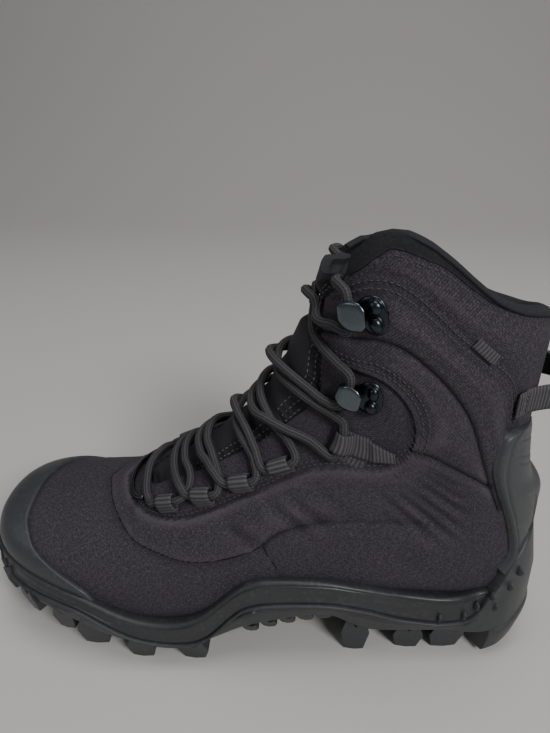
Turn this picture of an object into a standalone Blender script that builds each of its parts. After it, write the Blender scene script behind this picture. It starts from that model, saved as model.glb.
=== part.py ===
"""A laced, waterproof tactical boot for the left foot, built piece by piece round one last.

The toe points along -X, the outer (lateral) side is -Y, and Z = 0 is the floor. Tables are in millimetres.
The last is a run of sections. Each section stands on the line from a back or bottom point to a front or top
point of the side view, and is as wide as its row says.
"""

import bmesh
import bpy
import numpy as np

MM = 0.001
ORIGIN = np.array([-1.05, -0.75, 0.0])  # middle of the boot's footprint in the tables' own coordinates
GAP = 0.4  # clearance between pieces that lie on each other
WALL = 3.0  # insulated upper: face fabric, membrane, wadding and lining
COLLAR_WALL = 8.0  # padded cuff
FACING_STEP = 1.2  # the lacing band lies this far below the panel round it
TONGUE_THICK = 4.5
INSOLE_THICK = 5.0
LACE_RADIUS = 2.0
WEBBING = 0.8  # thickness of the tape that the lace loops are folded from

# ---------------------------------------------------------------- the last

# One row a section, from the tip of the toe to the top line. front and back are the two ends of the section
# in the side view, mid is its ridge's sideways place, outer and inner its half widths, wide the share of the
# way from back to front where it is widest, low and high how square its back and front halves are.
LAST = np.array(
    [
        # front x, z,  back x,  z,   mid, outer, inner, wide, low, high
        [-144.0, 47.5, -144.0, 47.5, 6.0, 0.0, 0.0, 0.50, 2.6, 2.1],  # tip
        [-139.5, 57.5, -138.0, 39.5, 6.0, 21.0, 20.0, 0.46, 2.8, 2.1],  # toe front
        [-127.0, 63.5, -123.0, 35.0, 5.5, 36.0, 33.5, 0.42, 3.4, 2.1],  # toe box
        [-102.0, 68.5, -98.0, 28.0, 4.0, 46.0, 42.0, 0.36, 4.0, 2.1],  # toe joint
        [-72.0, 74.5, -66.0, 20.5, 2.5, 51.0, 45.5, 0.32, 4.4, 2.1],  # ball
        [-46.0, 89.0, -36.0, 20.5, 1.0, 50.0, 43.0, 0.30, 4.4, 2.1],  # throat
        [-22.0, 107.0, -4.0, 28.0, 0.0, 46.0, 39.0, 0.30, 4.4, 2.2],  # waist
        [-2.0, 127.0, 36.0, 34.5, 0.0, 43.5, 38.5, 0.32, 4.2, 2.2],  # instep
        [9.0, 146.0, 84.0, 34.0, 0.0, 41.5, 38.5, 0.36, 4.0, 2.2],  # ankle bend
        [14.0, 157.0, 121.0, 33.0, 0.0, 39.5, 37.5, 0.40, 3.6, 2.3],  # heel seat
        [17.5, 165.0, 134.0, 47.0, 0.0, 38.5, 37.0, 0.44, 2.9, 2.4],  # heel foot
        [20.0, 172.0, 133.8, 70.0, 0.0, 38.5, 37.0, 0.48, 2.5, 2.4],  # heel bulge
        [22.5, 179.0, 128.5, 98.0, 0.0, 38.5, 37.5, 0.52, 2.3, 2.4],  # counter top
        [24.5, 186.0, 124.0, 128.0, 0.0, 38.0, 36.5, 0.54, 2.2, 2.4],  # tendon
        [26.0, 192.0, 124.0, 156.0, 0.0, 37.0, 33.5, 0.55, 2.2, 2.4],  # shaft
        [27.0, 197.0, 124.5, 183.0, 0.0, 35.5, 28.5, 0.55, 2.2, 2.4],  # top line
    ]
)
TOP = len(LAST) - 1.0
TOE_END, HEEL_END = 0.75, 9.6  # rows between which the upper is open underneath
OPEN_BELOW = 0.15  # where the lasting margin ends, as a turn
THROAT_END = 4.35

# How far the throat's edge and the step of the panel round the lacing lie from the ridge, as turns.
THROAT = np.array(
    [
        # row, edge, panel
        [4.35, 0.090, 0.110],
        [4.9, 0.095, 0.215],
        [5.7, 0.126, 0.262],
        [6.8, 0.168, 0.290],
        [7.5, 0.190, 0.304],
        [8.3, 0.208, 0.337],
        [9.3, 0.212, 0.380],
        [10.4, 0.185, 0.425],
        [11.2, 0.168, 0.445],
        [11.6, 0.163, 0.430],
        [12.0, 0.155, 0.165],
        [13.2, 0.135, 0.145],
        [13.8, 0.180, 0.190],
        [14.3, 0.225, 0.235],
        [15.0, 0.245, 0.255],
    ]
)
THROAT_ROUND = 0.5  # rows over which the throat's front end is rounded

# The top line rises at the sides of the shaft: share of the way from back to front, and the rise.
TOP_LINE = np.array(
    [[0.0, 0.0], [0.2, 2.0], [0.45, 9.0], [0.7, 18.5], [0.82, 16.0], [0.92, 6.0], [1.0, -2.0]]
)
TOP_LINE_FROM = 12.0  # the row where that rise starts to show

# The soft cuff stands higher at the outer front and lower at the inner back: turn, and how far at the top.
CUFF_SHIFT = np.array(
    [[0.0, -3.0], [0.1, -1.0], [0.2, 0.5], [0.36, 0.5], [0.42, 2.0], [0.48, 5.5], [0.54, 7.5], [0.62, 7.0]]
    + [[0.72, 6.0], [0.755, 3.0], [1.245, -5.0], [1.35, -9.0], [1.5, -6.5], [1.6, -4.5], [1.72, -8.5]]
    + [[1.86, -7.0], [2.0, -3.0]]
)
CUFF_SHIFT_FROM = 13.9  # the row where that starts to show

# ---------------------------------------------------------------- the sole

SPINE_TOE, SPINE_HEEL = np.array([-90.0, 4.0]), np.array([94.0, 0.0])  # the sole's outline is read from here

# Heights along the sole. edge is the rubber's top edge on the outer side and arch what the inner side adds,
# line the step between midsole and outsole, shelf the midsole's underside, base the outsole's between its
# lugs, and tread the lugs' ends.
SOLE = np.array(
    [
        # x, edge, arch, line, shelf, base, tread
        [-148.0, 47.0, 0.0, 36.0, 37.0, 33.0, 25.0],
        [-136.0, 46.0, 0.0, 34.5, 35.0, 31.0, 22.5],
        [-124.0, 44.0, 0.0, 34.0, 32.0, 28.0, 20.0],
        [-110.0, 42.0, 0.0, 34.0, 28.0, 24.5, 16.0],
        [-98.0, 40.0, 0.0, 33.0, 24.0, 20.0, 11.0],
        [-86.0, 38.0, 0.0, 31.0, 20.0, 15.5, 5.0],
        [-74.0, 34.0, 0.0, 25.0, 16.5, 12.0, 0.0],
        [-62.0, 29.5, 0.0, 19.0, 14.0, 10.5, 0.0],
        [-50.0, 27.0, 0.5, 16.5, 14.0, 10.5, 0.0],
        [-38.0, 27.5, 1.5, 15.5, 14.5, 11.0, 0.0],
        [-26.0, 32.5, 3.0, 17.5, 17.0, 12.0, 0.0],
        [-17.0, 42.0, 3.5, 27.0, 20.0, 16.0, 10.0],
        [-9.0, 50.5, 3.5, 38.0, 23.0, 21.0, 15.0],
        [0.0, 56.0, 3.0, 42.5, 26.0, 24.0, 18.0],
        [18.0, 56.5, 3.0, 43.5, 29.5, 27.5, 21.0],
        [36.0, 55.5, 2.5, 43.0, 31.0, 29.0, 22.5],
        [44.0, 53.5, 2.0, 41.5, 30.0, 24.0, 0.0],
        [54.0, 51.0, 1.0, 38.0, 27.0, 16.5, 0.0],
        [70.0, 46.0, 0.0, 31.5, 25.0, 14.5, 0.0],
        [90.0, 42.0, 0.0, 27.0, 24.0, 14.0, 0.0],
        [104.0, 43.5, 0.0, 29.0, 24.5, 14.0, 0.0],
        [112.0, 48.0, 0.0, 33.5, 25.5, 14.5, 0.5],
        [120.0, 58.0, 0.0, 41.5, 27.0, 15.5, 3.5],
        [129.0, 69.0, 0.0, 50.0, 30.0, 18.5, 8.0],
        [138.0, 74.5, 0.0, 56.0, 35.0, 25.0, 14.0],
    ]
)
EDGE, ARCH, LINE, SHELF, BASE, TREAD = range(1, 7)
RAND = 4.8  # how far the midsole's side stands out from the upper
LIP = 3.0  # and its top edge
OUTSOLE_RAND = 5.8
HEEL_KICK = 1.8  # what the outsole stands out more at the back of the heel
CUP_FROM, CUP_FULL = 0.86, 0.55  # places round the heel between which the outsole rises to the top edge

# Lugs along each side: place along the side's outline, width and how far up the side they reach.
SIDE_LUGS = np.array(
    [
        # x, width, reach
        [107.0, 18.0, 8.0],
        [78.0, 15.5, 6.5],
        [50.5, 14.5, 8.5],
        [-31.0, 15.0, 4.0],
        [-58.0, 15.0, 6.5],
        [-83.0, 17.0, 10.5],
    ]
)
TOE_LUGS = [10.0, 32.0, 54.0, 76.0]  # degrees round the toe, from its side to its front
CENTRE_LUGS = [-106.0, -87.0, -68.0, -49.0, -30.0, 60.0, 80.0, 100.0]  # x of the pairs under the foot
ARCH_LUGS = [0.0, 11.5, 22.5, 33.0]  # x of the small lugs on the arch plate


def hermite(ends, at):
    """Catmull-Rom curve between ends[i + 1] and ends[i + 2], where i is the whole part of at."""
    i = np.minimum(at.astype(int), len(ends) - 4)
    t = (at - i)[..., None]
    a, b, c, d = (ends[i + k] for k in range(4))
    return 0.5 * (2 * b + (c - a) * t + (2 * a - 5 * b + 4 * c - d) * t**2 + (3 * b - a - 3 * c + d) * t**3)


def smooth(value):
    value = np.clip(value, 0.0, 1.0)
    return value**2 * (3 - 2 * value)


def section(row):
    """The last's columns at a row number. Before the tip the last is its own mirror, so the toe is round."""
    past = LAST[1, [2, 3, 0, 1, 4, 5, 6, 7, 8, 9]] * [1, 1, 1, 1, 1, -1, -1, 1, 1, 1]
    ends = np.vstack([past, LAST, 2 * LAST[-1] - LAST[-2]])
    return np.moveaxis(hermite(ends, np.clip(np.asarray(row, float), 0.0, TOP + 0.9)), -1, 0)


def rise(share, row):
    """How far the top line's shape lifts a point of the shaft."""
    amount = np.interp(share, TOP_LINE[:, 0], TOP_LINE[:, 1])
    return amount * smooth((np.asarray(row) - TOP_LINE_FROM) / (TOP - TOP_LINE_FROM))


def cuff_shift(row, turn):
    """How far the upper's cuff is lifted from the last's own height."""
    shown = smooth((row - CUFF_SHIFT_FROM) / (TOP - CUFF_SHIFT_FROM))
    return np.interp(turn, CUFF_SHIFT[:, 0], CUFF_SHIFT[:, 1]) * shown


def last_point(row, turn):
    """A point of the last. turn is 0 at the back or bottom, 1 on the ridge, and 2 at the bottom again:
    0 to 1 is the outer side and 1 to 2 the inner one."""
    row, turn = np.broadcast_arrays(np.asarray(row, float), np.mod(np.asarray(turn, float), 2.0))
    front_x, front_z, back_x, back_z, mid, outer, inner, wide, low, high = section(row)
    lateral = turn <= 1.0
    angle = (np.where(lateral, turn, 2.0 - turn) - 0.5) * np.pi
    up, out = np.sin(angle), np.abs(np.cos(angle))
    square = 2.0 / np.where(up < 0, low, high)
    share = wide + np.where(up < 0, -wide, 1 - wide) * np.abs(up) ** square
    y = mid + np.where(lateral, -outer, inner) * out**square
    x = back_x + (front_x - back_x) * share
    z = back_z + (front_z - back_z) * share + rise(share, row)
    return np.stack([x, y, z], -1)


def normal(row, turn):
    """The last's outward unit normal."""
    row, turn = np.broadcast_arrays(np.asarray(row, float), np.asarray(turn, float))
    step = 0.004
    inside = np.clip(row, 0.03, None)
    along = last_point(inside + step, turn) - last_point(inside - step, turn)
    around = last_point(inside, turn + step) - last_point(inside, turn - step)
    out = np.cross(along, around)
    out = np.where((row < 0.02)[..., None], np.array([-1.0, 0.0, 0.0]), out)
    return out / np.linalg.norm(out, axis=-1, keepdims=True)


def skin(row, turn, lift=0.0):
    """A point of the last moved out along its normal by lift."""
    return last_point(row, turn) + np.asarray(lift, float)[..., None] * normal(row, turn)


def throat_edge(row):
    """Turn from the ridge to the throat's edge, round at the throat's front end."""
    near = np.clip((row - THROAT_END) / THROAT_ROUND, 0.0, 1.0)
    return np.interp(row, THROAT[:, 0], THROAT[:, 1]) * np.sqrt(1 - (1 - near) ** 2)


def panel_edge(row):
    """Turn from the ridge to the step of the panel round the lacing band."""
    return np.maximum(np.interp(row, THROAT[:, 0], THROAT[:, 2]), throat_edge(row) + 0.01)


def open_below(row):
    """Turn from the bottom line to the lasting margin's edge, round at both ends."""
    near = np.clip(np.minimum(row - TOE_END, HEEL_END - row) / 0.5, 0.0, 1.0)
    return OPEN_BELOW * np.sqrt(1 - (1 - near) ** 2)


def inside_last(x, y, z):
    """Whether points are inside the last, below its top line."""
    low, high = np.zeros_like(x), np.full_like(x, TOP)
    for _ in range(22):
        middle = (low + high) / 2
        front_x, front_z, back_x, back_z = section(middle)[:4]
        ahead = (front_x - back_x) * (z - back_z) - (front_z - back_z) * (x - back_x) > 0
        low, high = np.where(ahead, low, middle), np.where(ahead, middle, high)
    front_x, front_z, back_x, back_z, mid, outer, inner, wide, square_low, square_high = section(low)
    length = np.maximum((front_x - back_x) ** 2 + (front_z - back_z) ** 2, 1e-9)
    share = ((x - back_x) * (front_x - back_x) + (z - back_z) * (front_z - back_z)) / length
    below = share < wide
    power = np.where(below, square_low, square_high)
    reach = np.clip(np.where(below, (wide - share) / wide, (share - wide) / (1 - wide)), 0.0, 1.0)
    width = np.where(y > mid, inner, outer) * (1 - reach**power) ** (1 / power)
    return (share > 0) & (share < 1) & (np.abs(y - mid) < width)


# ---------------------------------------------------------------- the sole's outline


def compass(place):
    """Spine point and outward direction at a place round the sole. 0 is the back of the heel, 1 to 2 the
    outer side from heel to toe, 3 the tip, 4 to 5 the inner side from toe to heel, and 6 the back again."""
    place = np.mod(np.asarray(place, float), 6.0)
    angle = np.pi / 2 * np.select(
        [place < 1, place < 2, place < 4, place < 5], [place, 1.0, place - 1.0, 3.0], place - 2.0
    )
    share = np.select([place < 1, place < 2, place < 4, place < 5], [0.0, place - 1, 1.0, 5 - place], 0.0)
    centre = SPINE_HEEL + (SPINE_TOE - SPINE_HEEL) * share[..., None]
    return centre, np.stack([np.cos(angle), -np.sin(angle)], -1)


def radius_at(place, height):
    """Distance from the spine to the last's surface at a height, or to its widest below where it narrows."""
    centre, direction = compass(place)
    x = centre[..., 0] + 45 * direction[..., 0]
    widest = np.interp(x, SOLE[:, 0], SOLE[:, SHELF]) + 20.0 - 9.0 * smooth((-95.0 - x) / 35.0)
    z = np.maximum(height, widest)
    near, far = np.zeros_like(z), np.full_like(z, 80.0)
    for _ in range(20):
        middle = (near + far) / 2
        spot = centre + direction * middle[..., None]
        within = inside_last(spot[..., 0], spot[..., 1], z)
        near, far = np.where(within, middle, near), np.where(within, far, middle)
    return near


def sole_height(column, place):
    """A height column of SOLE at a place round the sole."""
    centre, direction = compass(place)
    x = centre[..., 0] + direction[..., 0] * 50.0
    height = np.interp(x, SOLE[:, 0], SOLE[:, column])
    if column == EDGE:
        inner_side = smooth((direction[..., 1] + 0.2) / 0.6)
        height = height + inner_side * np.interp(x, SOLE[:, 0], SOLE[:, ARCH])
    return height


def side_ring(place, height, stand_out):
    """Points round the sole's side at a height, standing out from the last."""
    centre, direction = compass(place)
    flat = centre + direction * (radius_at(place, height) + stand_out)[..., None]
    return np.column_stack([flat, height])


def inner_ring(place, fraction, height_column, shift=0.0):
    """Points under the foot, a fraction of the way from the spine to the side, at a height of SOLE."""
    centre, direction = compass(place)
    radius = radius_at(place, np.full(len(place), 30.0))
    flat = centre + direction * (radius * fraction)[..., None]
    height = np.interp(flat[:, 0], SOLE[:, 0], SOLE[:, height_column]) + shift
    return np.column_stack([flat, height])


# ---------------------------------------------------------------- making meshes

collections = {}


def collection(name):
    if name not in collections:
        collections[name] = bpy.data.collections.new(name)
        bpy.context.scene.collection.children.link(collections[name])
    return collections[name]


def material(name, colour, roughness, metallic=0.0):
    """A Principled material."""
    made = bpy.data.materials.get(name) or bpy.data.materials.new(name)
    made.use_nodes = True
    shader = made.node_tree.nodes["Principled BSDF"]
    shader.inputs["Base Color"].default_value = (*colour, 1.0)
    shader.inputs["Roughness"].default_value = roughness
    shader.inputs["Metallic"].default_value = metallic
    made.diffuse_color = (*colour, 1.0)
    return made


def add_object(name, mesh, made_of=None):
    """An object of the boot, or a cutter where it has no material."""
    obj = bpy.data.objects.new(name, mesh)
    if made_of is None:
        obj.hide_render = True
        obj.display_type = "WIRE"
        collection("cutters").objects.link(obj)
    else:
        mesh.materials.clear()
        mesh.materials.append(made_of)
        collection("tactical_boot").objects.link(obj)
    return obj


def body(name, points, faces, made_of=None):
    """An object from points in millimetres and faces, with doubled points merged and faces pointing out."""
    points = np.asarray(points, float)
    keys, first, index = np.unique(np.round(points, 3), axis=0, return_index=True, return_inverse=True)
    index = index.reshape(-1)
    kept = []
    for face in faces:
        loop = [int(index[k]) for k in face]
        loop = [a for k, a in enumerate(loop) if a != loop[k - 1]]
        if len(set(loop)) > 2:
            kept.append(loop)
    mesh = bpy.data.meshes.new(name)
    mesh.from_pydata([tuple(p) for p in (points[first] - ORIGIN) * MM], [], kept)
    built = bmesh.new()
    built.from_mesh(mesh)
    bmesh.ops.delete(built, geom=[v for v in built.verts if not v.link_faces], context="VERTS")
    bmesh.ops.recalc_face_normals(built, faces=built.faces)
    built.to_mesh(mesh)
    built.free()
    return add_object(name, mesh, made_of)


def halves_of(a, b, c, d):
    """A four-sided face as two triangles, always cut from a to c, so that like grids match exactly."""
    return [(a, b, c), (a, c, d)]


def loft(rings):
    """Points and faces of a run of rings, each a closed loop of points."""
    count = len(rings[0])
    points = np.concatenate(rings)
    faces = []
    for i in range(len(rings) - 1):
        for k in range(count):
            n = (k + 1) % count
            faces += halves_of(i * count + k, (i + 1) * count + k, (i + 1) * count + n, i * count + n)
    return points, faces


def capped(rings):
    """A loft with its two end rings filled."""
    points, faces = loft(rings)
    count, last = len(rings[0]), len(points)
    return points, faces + [tuple(range(count))[::-1], tuple(range(last - count, last))]


def boolean(obj, cutter, operation):
    """Adds an exact Boolean modifier with one cutter object."""
    modifier = obj.modifiers.new(operation.lower(), "BOOLEAN")
    modifier.operation = operation
    modifier.solver = "EXACT"
    modifier.object = cutter
    return modifier


def merge_flat_faces(obj):
    """Joins the faces that a Boolean has cut up and that lie in one plane."""
    modifier = obj.modifiers.new("merge_flat_faces", "DECIMATE")
    modifier.decimate_type = "DISSOLVE"
    modifier.angle_limit = np.radians(2.0)


def shell(name, sheets, made_of, shift=None):
    """A wall over sheets of the last, each a grid of rows, turns and the two lifts. Where sheets or parts of
    one meet, the wall is joined, and along open edges it is closed with a rim. shift gives how much higher a
    row and turn lies."""
    outer, inner, marks, quads = [], [], [], []
    for rows, turns, lift_out, lift_in in sheets:
        start = sum(len(points) for points in outer)
        raised = np.zeros((turns.size, 3))
        if shift is not None:
            raised[:, 2] = shift(rows, turns).ravel()
        outer.append(skin(rows, turns, lift_out).reshape(-1, 3) + raised)
        inner.append(skin(rows, turns, lift_in).reshape(-1, 3) + raised)
        marks.append(np.round(last_point(rows, turns).reshape(-1, 3), 2))
        count, width = turns.shape
        for i in range(count - 1):
            for k in range(width - 1):
                corner = start + i * width + k
                quads += halves_of(corner, corner + width, corner + width + 1, corner + 1)
    _, first, index = np.unique(np.vstack(marks), axis=0, return_index=True, return_inverse=True)
    index = index.reshape(-1)
    loops = [loop for loop in (tuple(int(index[a]) for a in quad) for quad in quads) if len(set(loop)) == 3]
    edges = {(loop[n - 1], a) for loop in loops for n, a in enumerate(loop)}
    count = len(first)
    faces = loops + [tuple(a + count for a in reversed(loop)) for loop in loops]
    for a, b in sorted(edges):
        if (b, a) not in edges:
            faces += halves_of(b, a, a + count, b + count)
    points = np.vstack([np.vstack(outer)[first], np.vstack(inner)[first]])
    return body(name, points, faces, made_of)


# ---------------------------------------------------------------- the materials

for old in list(bpy.data.objects):
    bpy.data.objects.remove(old, do_unlink=True)

FABRIC = material("woven_fabric", (0.035, 0.033, 0.038), 0.85)
PADDING = material("tongue_fabric", (0.03, 0.029, 0.033), 0.8)
LINING = material("lining", (0.02, 0.02, 0.022), 0.9)
RUBBER = material("outsole_rubber", (0.04, 0.045, 0.05), 0.6)
FOAM = material("midsole_rubber", (0.03, 0.032, 0.036), 0.5)
TAPE = material("webbing", (0.05, 0.05, 0.055), 0.75)
CORD = material("lace_cord", (0.05, 0.05, 0.055), 0.8)
METAL = material("black_metal", (0.06, 0.065, 0.07), 0.25, 1.0)

# ---------------------------------------------------------------- the upper

UPPER_ROWS = np.array(
    [0, 0.15, 0.4, 0.75, 1.1, 1.6, 2.2, 2.9, 3.6, 4.35, 4.5, 4.9, 5.5, 6.2, 6.9, 7.6]
    + [8.3, 8.9, 9.3, 9.6, 10, 10.6, 11.3, 12, 12.7, 13.4, 14, 14.5, 14.8, 15]
)
EVEN_COLUMNS, STEP_COLUMNS = 5, 3  # columns up each side, and on from there to the panel's step
EVEN_TO = 0.5  # the turn where the even columns end
BAND_FADE = 0.3  # rows over which the lacing band sinks in behind the throat's end
ROUND_FROM, ROUND_TOP = 14.4, 2.2  # row where the cuff's top starts to round off, and how much on each face
PAD_FROM, PAD_FULL = 12.4, 13.7  # rows where the cuff's padding starts and is full
PAD_AWAY, PAD_EASE = 0.13, 0.08  # turns from the throat's edge to the padding, and over which it grows


def half_turns(rows):
    """Turns across the outer half of the upper: evenly up its side, then to the step and the throat."""
    low = open_below(rows)[:, None]
    step = 1 - panel_edge(rows)[:, None]
    edge = 1 - throat_edge(rows)[:, None]
    even = low + (EVEN_TO - low) * np.linspace(0, 1, EVEN_COLUMNS + 1)
    on = EVEN_TO + (step - EVEN_TO) * np.linspace(0, 1, STEP_COLUMNS + 1)[1:]
    return np.hstack([even, on, step + 0.006, (step + edge) / 2 + 0.003, edge])


def wall(rows, turns):
    """Outer and inner lift of the upper's wall."""
    side = np.where(turns > 1, 2 - turns, turns)
    band = (side > 1 - panel_edge(rows) + 0.003) * smooth((rows - THROAT_END) / BAND_FADE)
    round_top = ROUND_TOP * smooth((rows - ROUND_FROM) / (TOP - ROUND_FROM))
    away = 1 - throat_edge(rows) - PAD_AWAY - side
    pad = smooth((rows - PAD_FROM) / (PAD_FULL - PAD_FROM)) * smooth(away / PAD_EASE)
    thick = WALL + (COLLAR_WALL - WALL) * pad
    return -FACING_STEP * band - round_top * pad, -thick + round_top * pad


def upper_sheets():
    halves = half_turns(UPPER_ROWS)
    grid = np.repeat(UPPER_ROWS[:, None], halves.shape[1], 1)
    return [(grid, turns, *wall(grid, turns)) for turns in (halves, (2 - halves)[:, ::-1])]


def last_body(name, lift):
    """A closed body of the upper's outline, for cutting what lies on it or in it."""
    halves = half_turns(UPPER_ROWS)
    turns = np.hstack([halves, (2 - halves)[:, ::-1]])
    grid = np.repeat(UPPER_ROWS[:, None], turns.shape[1], 1)
    return body(name, *capped(list(skin(grid, turns, np.full(grid.shape, lift)))))


shell("upper", upper_sheets(), FABRIC, cuff_shift)

# ---------------------------------------------------------------- the tongue

TONGUE_ROWS = np.append(UPPER_ROWS[(UPPER_ROWS > 3.5) & (UPPER_ROWS < 14.7)], [14.7, 14.9])
TONGUE_TUCK = 0.10  # how far the tongue reaches under the facings, as a turn
LOBE_ROOM = 4.3  # how much deeper the tongue's sides lie under the end of the lacing band
TONGUE_CROWN = 1.5  # how far its middle stands out from the last
LACE_POCKET_FROM = 13.05  # row where the tongue's sides stand back, with room for the lace's ends
LACE_POCKET = 6.2  # how far they stand back
LACE_GROOVE = 0.068  # and how far from the facing's edge, as a turn
LOBE_ROW, LOBE_HALF = 11.8, 1.6  # the row of the band's end, and how many rows its room reaches
FRONT_ROW, FRONT_TUCK = 5.2, 0.6  # in front of this row the sides lie deeper
CROWN_FROM, CROWN_EASE = 0.014, 0.05  # turns inside the throat's edge where the padding starts to swell
CROWN_WIDE = 0.12  # and where it is full
TONGUE_SIDE = 2.2  # its thickness at the sides
TIP_ROW, TIP_SHARE = 14.8, 0.55  # above this row it is thinner


def tongue_lift(rows, turns):
    """Outer lift of the tongue: below the facings at its sides, padded out between them. Near the top the
    sides stand back from the facings, so that the lace's ends fit between."""
    side = np.where(turns > 1, 2 - turns, turns)
    inside = side - 1 + throat_edge(rows)
    top = smooth((rows - LACE_POCKET_FROM) / 0.7)
    groove = LACE_GROOVE * top
    tucked = -(WALL + 2 * GAP) - FRONT_TUCK * smooth((FRONT_ROW - rows) / 0.6)
    tucked = tucked - LOBE_ROOM * smooth(LOBE_HALF - np.abs(rows - LOBE_ROW))
    tucked = tucked - LACE_POCKET * top * smooth((groove - inside) / 0.03)
    crown = smooth((inside - CROWN_FROM - groove) / CROWN_EASE) * (3.0 + smooth(inside / CROWN_WIDE)) / 4.0
    return tucked + crown * (TONGUE_CROWN + WALL)


def tongue():
    edge = throat_edge(TONGUE_ROWS)[:, None]
    tuck = TONGUE_TUCK * smooth((TONGUE_ROWS - 3.0) / 1.5)[:, None]
    from_ridge = np.hstack([edge + tuck, edge + tuck * 0.5, edge + 0.004, edge * 0.8, edge * 0.5, edge * 0.2])
    turns = np.hstack([1 - from_ridge, (1 + from_ridge)[:, ::-1]])
    depth = np.abs(np.linspace(-1, 1, turns.shape[1]))
    grid = np.repeat(TONGUE_ROWS[:, None], turns.shape[1], 1)
    grid = np.where(grid > 14, 14 + (grid - 14) * (1 - 0.85 * depth**2), grid)
    outer = tongue_lift(grid, turns)
    thick = TONGUE_SIDE + (TONGUE_THICK - TONGUE_SIDE) * smooth((1 - depth) / 0.4)
    thick = thick * np.where(TONGUE_ROWS > TIP_ROW, TIP_SHARE, 1.0)[:, None]
    return shell("tongue", [(grid, turns, outer, outer - thick)], PADDING)


tongue()

# ---------------------------------------------------------------- the insole


# The last's underside along the foot: x and z, with both ends raised so that the insole follows the curve.
INSOLE_TOP = np.array(
    [[-150.0, 42.0], [-136.0, 40.0], [-123.0, 35.0], [-98.0, 28.0], [-66.0, 20.5], [-36.0, 20.5]]
    + [[-4.0, 28.0], [36.0, 34.5], [84.0, 34.0], [121.0, 33.0], [134.0, 36.5], [142.0, 40.0]]
)
INSOLE_DISH = 0.6  # how much lower its middle lies than its sides


def insole():
    """The lower slice of the upper's inside."""
    obj_cut = last_body("inside_of_upper", -(WALL + GAP))
    x, top = INSOLE_TOP.T
    wide, middle, low = 60.0, 20.0, -5.0
    rings = [
        np.array(
            [[a, -wide, low], [a, wide, low], [a, wide, b]]
            + [[a, middle, b - INSOLE_DISH], [a, -middle, b - INSOLE_DISH], [a, -wide, b]]
        )
        for a, b in zip(x, top + WALL + GAP + INSOLE_THICK)
    ]
    made = body("insole", *capped(rings), LINING)
    boolean(made, obj_cut, "INTERSECT")
    return made


insole()

# ---------------------------------------------------------------- the sole

PLACES = np.concatenate(
    [np.linspace(0, 1, 5)[:-1], np.linspace(1, 2, 14)[:-1], np.linspace(2, 4, 11)[:-1]]
    + [np.linspace(4, 5, 14)[:-1], np.linspace(5, 6, 5)[:-1]]
)


# How far the sole's foot is drawn in under its side, by x: more beside the heel than beside the ball.
DRAWN_IN = np.array([[-110.0, 0.0], [-90.0, 3.0], [0.0, 3.0], [40.0, 6.0], [100.0, 6.0], [125.0, 0.5]])


def drawn_in(place):
    """How far the sole's foot is drawn in at a place round it."""
    centre, direction = compass(place)
    return np.interp(centre[..., 0] + 50.0 * direction[..., 0], DRAWN_IN[:, 0], DRAWN_IN[:, 1])


def back_of_heel(place, wide, narrow):
    """1 at the back of the heel, 0 forward of the place wide."""
    away = np.minimum(np.mod(place, 6), 6 - np.mod(place, 6))
    return smooth((wide - away) / (wide - narrow))


CUP_RAND, CUP_LIP = 1.8, 1.6  # how far the midsole stands out from the last inside the heel cup
CUP_LINE, CUP_EDGE = 3.0, 12.0  # heights of its line and edge over the shelf there
TOE_FROM, TOE_OVER, TOE_PROUD = -105.0, 25.0, 1.2  # where the midsole's lip grows at the toe, and how much


def midsole_body(name, grow, made_of=None, proud=0.0):
    """The midsole's outline with its inside filled, grown all round by grow and its side also by proud."""
    cup = back_of_heel(PLACES, CUP_FROM, CUP_FULL)
    edge = sole_height(EDGE, PLACES) * (1 - cup) + (sole_height(SHELF, PLACES) + CUP_EDGE) * cup
    line = sole_height(LINE, PLACES) * (1 - cup) + (sole_height(SHELF, PLACES) + CUP_LINE) * cup
    shelf = sole_height(SHELF, PLACES)
    rand = RAND * (1 - cup) + CUP_RAND * cup + proud
    lip = LIP * (1 - cup) + CUP_LIP * cup + proud
    centre, direction = compass(PLACES)
    toe = TOE_PROUD * smooth((TOE_FROM - centre[:, 0] - 40 * direction[:, 0]) / TOE_OVER)
    rings = [
        inner_ring(PLACES, 0.0, SHELF, -grow),
        inner_ring(PLACES, 0.72, SHELF, -grow),
        side_ring(PLACES, np.minimum(shelf + 1.0, line - 1.5) - grow, rand * 0.3 + grow),
        side_ring(PLACES, line - grow, rand + grow),
        side_ring(PLACES, line * 0.5 + edge * 0.5, rand - 0.5 + grow),
        side_ring(PLACES, edge - 2.5 + grow, rand * 0.7 + lip * 0.3 + toe / 2 + grow),
        side_ring(PLACES, edge + grow, lip + toe + grow),
        side_ring(PLACES, edge + grow, -6.0),
        inner_ring(PLACES, 0.0, EDGE, grow),
    ]
    return body(name, *loft(rings), made_of)


CUP_THIN = 1.6  # how much less the outsole stands out in the heel cup
FOOT_PROUD, BEVEL_PROUD = 1.5, 4.6  # how far its bottom edge and the bevel above that stand out
BEVEL_HEIGHTS = (0.4, 2.4, 5.0)  # heights over the base of the bottom edge, the bevel and the full width


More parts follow.
